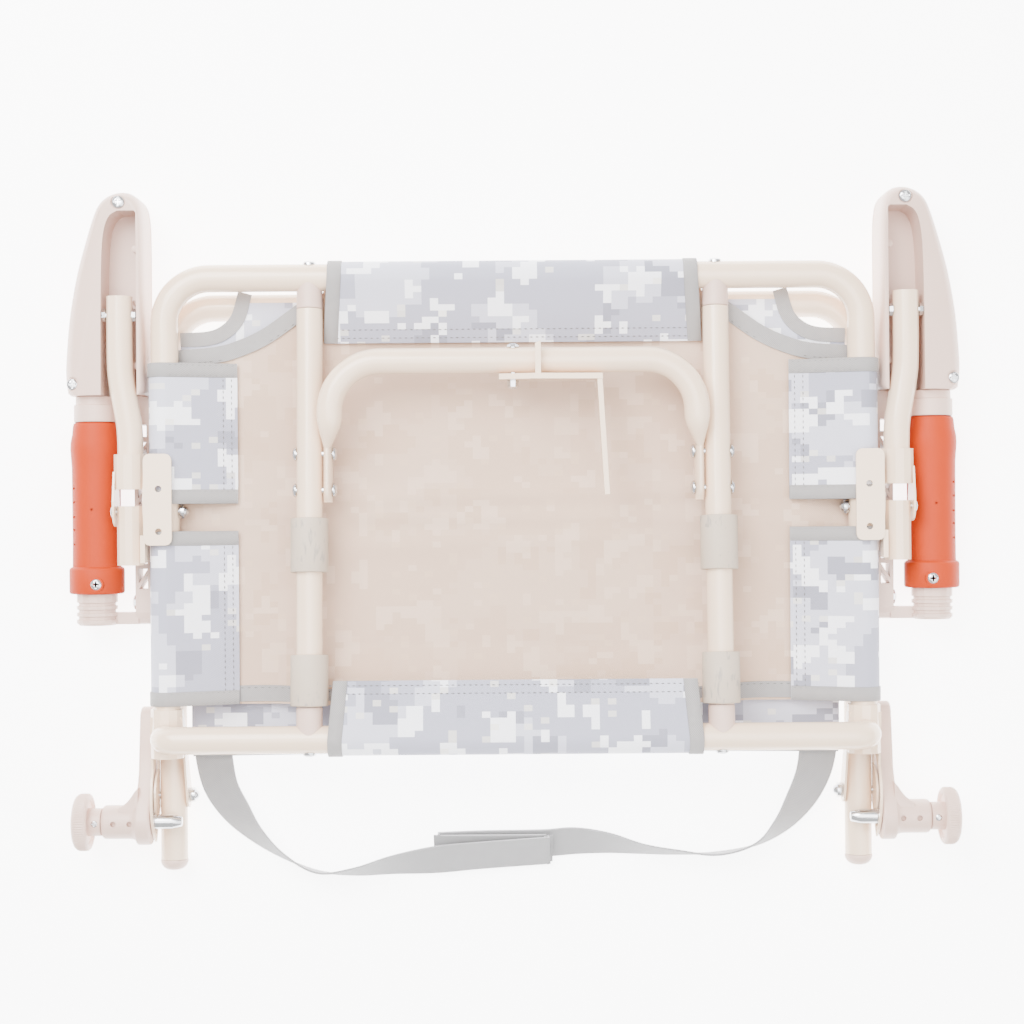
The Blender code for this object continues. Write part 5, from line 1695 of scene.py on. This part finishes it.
    def gusset(self, side: Side, out: float) -> Object:
        """The web between the plate and the housing, on the side away from the knob's end."""
        y0 = self.pin_y + self.housing_r * 0.70
        key = [(out - 0.002, y0 + 0.0190), (out + 0.0006, y0 + 0.0160), (out + 0.0040, y0 + 0.0110),
               (out + 0.0085, y0 + 0.0060), (out + 0.0135, y0 + 0.0026), (out + 0.0150, y0 - 0.0020),
               (out - 0.002, y0 - 0.0020)]
        curve = [(p.x, p.y) for p in smooth_path([(x, y, 0) for x, y in key[:6]], 4)] + [key[6]]
        rings = []
        for z, inset in ((-0.0105, 0.0010), (-0.0095, 0.0), (0.0095, 0.0), (0.0105, 0.0010)):
            rings.append([Vector((side.value * (x - inset * (x > out)), y - inset, self.pin_z + z)) for x,
                          y in curve])
        return loft("gusset", rings)

    def knob(self, shop: Shop, side: Side, end: float, knob_in: float, centre: Point) -> None:
        """The knob with fine knurls, its neck and the neck's set screw.

        Args:
            shop: The workshop.
            side: The side.
            end: The housing's outer end.
            knob_in: The knob's inner face.
            centre: The pin's axis.
        """
        r, far = self.knob_r, knob_in + self.knob_t
        profile = [(knob_in + 0.0043, 0.0004), (knob_in + 0.0043, 0.0043), (end + 0.0004, 0.0043),
                   (end + 0.0004, 0.0106), (end + 0.0010, 0.0112), (knob_in + 0.0022, 0.0112),
                   (knob_in + 0.0022, 0.0170), (knob_in + 0.0006, 0.0182), (knob_in, 0.0196),
                   (knob_in + 0.0006, r - 0.0012),
                   (knob_in + 0.0020, r - 0.0001), (knob_in + 0.0032, r), (far - 0.0048, r),
                   (far - 0.0030, r - 0.0006),
                   (far - 0.0012, r - 0.0020), (far - 0.0002, r - 0.0042), (far, r - 0.0075),
                   (far - 0.0004, 0.0004)]

        def knurl(radius: float, angle: float) -> float:
            return radius + 0.00022 * cos(72 * angle) if radius > r - 0.0010 else radius
        s = side.value
        knob = turned(f"knob_{side.word}", profile, centre, (s, 0, 0), 288, knurl)
        shop.hand_over(knob, "arm_plastic", f"plunger_{side.word}", f"plunger_knob_{side.word}")
        set_screw = screw_head(f"neck_screw_{side.word}",
                               (s * (end + 0.0052), self.pin_y, self.pin_z + 0.0108),
                               (0, 0, 1), 0.0027, 0.0011)
        shop.hand_over(set_screw, "bright_zinc", f"plunger_{side.word}")


@dataclass
class Fasteners:
    """Bolts, rivets and screws, turned at a finer step than the model's."""

    bolt_r: float = 0.0030

    def build(self, shop: Shop, tubes: SeatTubes, inner: InnerFrame) -> None:
        """Build every fastener.

        Args:
            shop: The workshop.
            tubes: The seat's tubes, for the rails.
            inner: The inner frame, for its rivets.
        """
        for side in Side:
            s, word = side.value, side.word
            for place, node, body, low, high, head_r in (
                    ((0, 0.0, PLAN.back_z), "back_pivot_bolt", "back", 0.2665, 0.3063, 0.0062),
                    ((0, PLAN.brace_y, PLAN.seat_z), "brace_pivot_bolt", "seat", 0.2687, 0.3215, 0.0060)):
                bolt = self.bolt(f"{node}_{word}_turned", place, s, low, high, head_r)
                shop.hand_over(bolt, "bright_zinc", body, f"{node}_{word}")
            self.rail_screws(shop, side, tubes)
            for index, y in enumerate(inner.rivets):
                centre = tubes.point(side, y)
                low = tubes.rail_x - tubes.rail_r - 0.0087
                high = tubes.rail_x + tubes.rail_r + 0.0003
                rivet = self.bolt(f"inner_rivet_{index}_{word}", (0, centre.y, centre.z), s, low, high,
                                  0.0056, True)
                shop.hand_over(rivet, "bright_zinc", "seat",
                               f"bench_rivet_{('rear', 'front')[index]}_{word}")

    def bolt(self, name: str, place: Point, s: int, low: float, high: float, head_r: float,
             rivet: bool = False) -> Object:
        """A bolt along X: a domed nut or rivet head inside, a domed head outside.

        Args:
            name: The piece's name.
            place: A point on its axis.
            s: The side's sign.
            low: Where its inner head starts.
            high: Where its outer head starts.
            head_r: The heads' radius.
            rivet: Whether the inner end is a low rivet head as well.

        Returns:
            The bolt.
        """
        dome = [(0.0, head_r), (0.0006, head_r), (0.0014, head_r * 0.93), (0.0022, head_r * 0.78),
                (0.0028, head_r * 0.52), (0.0031, 0.0006)]
        if rivet:
            inner = [(low - z, r) for z, r in reversed(dome)]
        else:
            inner = [(low - 0.0072, 0.0006), (low - 0.0068, 0.0022), (low - 0.0056, 0.0036),
                     (low - 0.0042, 0.0044),
                     (low - 0.0040, head_r * 0.95), (low - 0.0004, head_r), (low, head_r * 0.97)]
        profile = inner + [(low, self.bolt_r), (high, self.bolt_r)] + [(high + z, r) for z, r in dome]
        return turned(name, profile, place, (s, 0, 0), 36)

    def rail_screws(self, shop: Shop, side: Side, tubes: SeatTubes) -> None:
        """The screws that hold a rail's plugs, in the far faces of both cross tubes.

        Args:
            shop: The workshop.
            side: The rail's side.
            tubes: The seat's tubes.
        """
        for name, y, z, way in (("front", PLAN.seat_depth + PLAN.tube_r, PLAN.seat_z, 1),
                                ("rear", PLAN.rear_y - PLAN.tube_r, PLAN.rear_z, -1)):
            head = screw_head(f"rail_screw_{name}_{side.word}",
                              (side.value * tubes.rail_x, y - way * 0.0002, z),
                              (0, way, 0), 0.0054, 0.0026)
            shop.hand_over(head, "bright_zinc", "seat")


# ---- the set ---------------------------------------------------------------------------------
@dataclass
class Studio:
    """The pale floor, the soft lights and the camera above."""

    lens: float = 70.0
    height: float = 1.645
    look_at: tuple[float, float] = (-0.0016, 0.0187)
    roll: float = -0.45
    glow: float = 6.0

    def build(self) -> None:
        """Build the set."""
        self.floor()
        self.lights()
        self.world()
        self.camera()

    @staticmethod
    def lights() -> None:
        """Three broad soft lights that face the chair."""
        for name, place, size, power in (("key", (-0.7, 0.9, 1.5), 1.1, 80.0),
                                         ("fill", (1.0, -0.5, 1.3), 1.4, 24.0),
                                         ("top", (0.0, 0.2, 2.2), 1.6, 62.0)):
            data = bpy.data.lights.new(name, "AREA")
            data.energy, data.size = power, size
            lamp = bpy.data.objects.new(name, data)
            lamp.location = place
            lamp.rotation_euler = (-Vector(place)).to_track_quat("-Z", "Y").to_euler()
            bpy.context.collection.objects.link(lamp)

    @staticmethod
    def world() -> None:
        """An even, warm white surround."""
        world = bpy.data.worlds.new("studio")
        world.use_nodes = True
        world.node_tree.nodes["Background"].inputs["Color"].default_value = (1.0, 0.99, 0.98, 1)
        world.node_tree.nodes["Background"].inputs["Strength"].default_value = 1.25
        bpy.context.scene.world = world

    def camera(self) -> None:
        """The camera, straight above."""
        data = bpy.data.cameras.new("above")
        data.lens = self.lens
        camera = bpy.data.objects.new("above", data)
        camera.location = (*self.look_at, self.height)
        camera.rotation_euler = (0, 0, radians(self.roll))
        bpy.context.collection.objects.link(camera)
        bpy.context.scene.camera = camera

    def floor(self) -> None:
        """A broad pale floor."""
        bm = bmesh.new()
        bmesh.ops.create_grid(bm, x_segments=1, y_segments=1, size=4.0)
        ground = new_object("floor", bm)
        mat = bpy.data.materials.new("floor_white")
        mat.use_nodes = True
        for socket, value in (("Base Color", (0.93, 0.93, 0.93, 1)), ("Roughness", 0.9),
                              ("Emission Color", (1.0, 1.0, 1.0, 1)), ("Emission Strength", self.glow)):
            mat.node_tree.nodes["Principled BSDF"].inputs[socket].default_value = value
        ground.data.materials.append(mat)
        ground.location.z = -0.0005


NODE_FINISHES: dict[str, tuple[str, ...]] = {
    "cream_paint": ("seat_clevis", "arm_bracket", "brace_clevis", "bench_hook"),
    "arm_plastic": ("arm_rail",),
    "bright_zinc": ("hook_rivet", "arm_pivot_bolt", "plunger_spring", "brace_pin"),
}


def main() -> None:
    """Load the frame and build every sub-assembly in order."""
    logging.basicConfig(level=logging.INFO, format="%(name)s: %(message)s")
    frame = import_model()
    low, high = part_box("back_pivot_bolt_left")
    shop = Shop(frame, Palette(), (low.y + high.y) / 2)
    for finish, starts in NODE_FINISHES.items():
        for node in frame["nodes"]:
            if node.startswith(starts):
                shop.palette.dress_node(frame, node, finish)
    tubes, inner = SeatTubes(), InnerFrame()
    steps: list[tuple[str, Callable[[], None]]] = [
        ("studio", Studio().build),
        ("seat tubes", lambda: tubes.build(shop)),
        ("inner frame", lambda: inner.build(shop, tubes)),
        ("back tubes", lambda: BackTubes().build(shop)),
        ("braces", lambda: Braces().build(shop)),
        ("seat cloth", lambda: SeatCloth().build(shop)),
        ("back cloth", lambda: BackCloth().build(shop)),
        ("carry strap", lambda: CarryStrap().build(shop)),
        ("grips", lambda: Grip().build(shop)),
        ("armrests", lambda: Armrest().build(shop)),
        ("recliners", lambda: Recliner().build(shop)),
        ("fasteners", lambda: Fasteners().build(shop, tubes, inner)),
    ]
    for name, step in steps:
        step()
        LOG.info("built the %s", name)


if __name__ == "__main__":
    main()
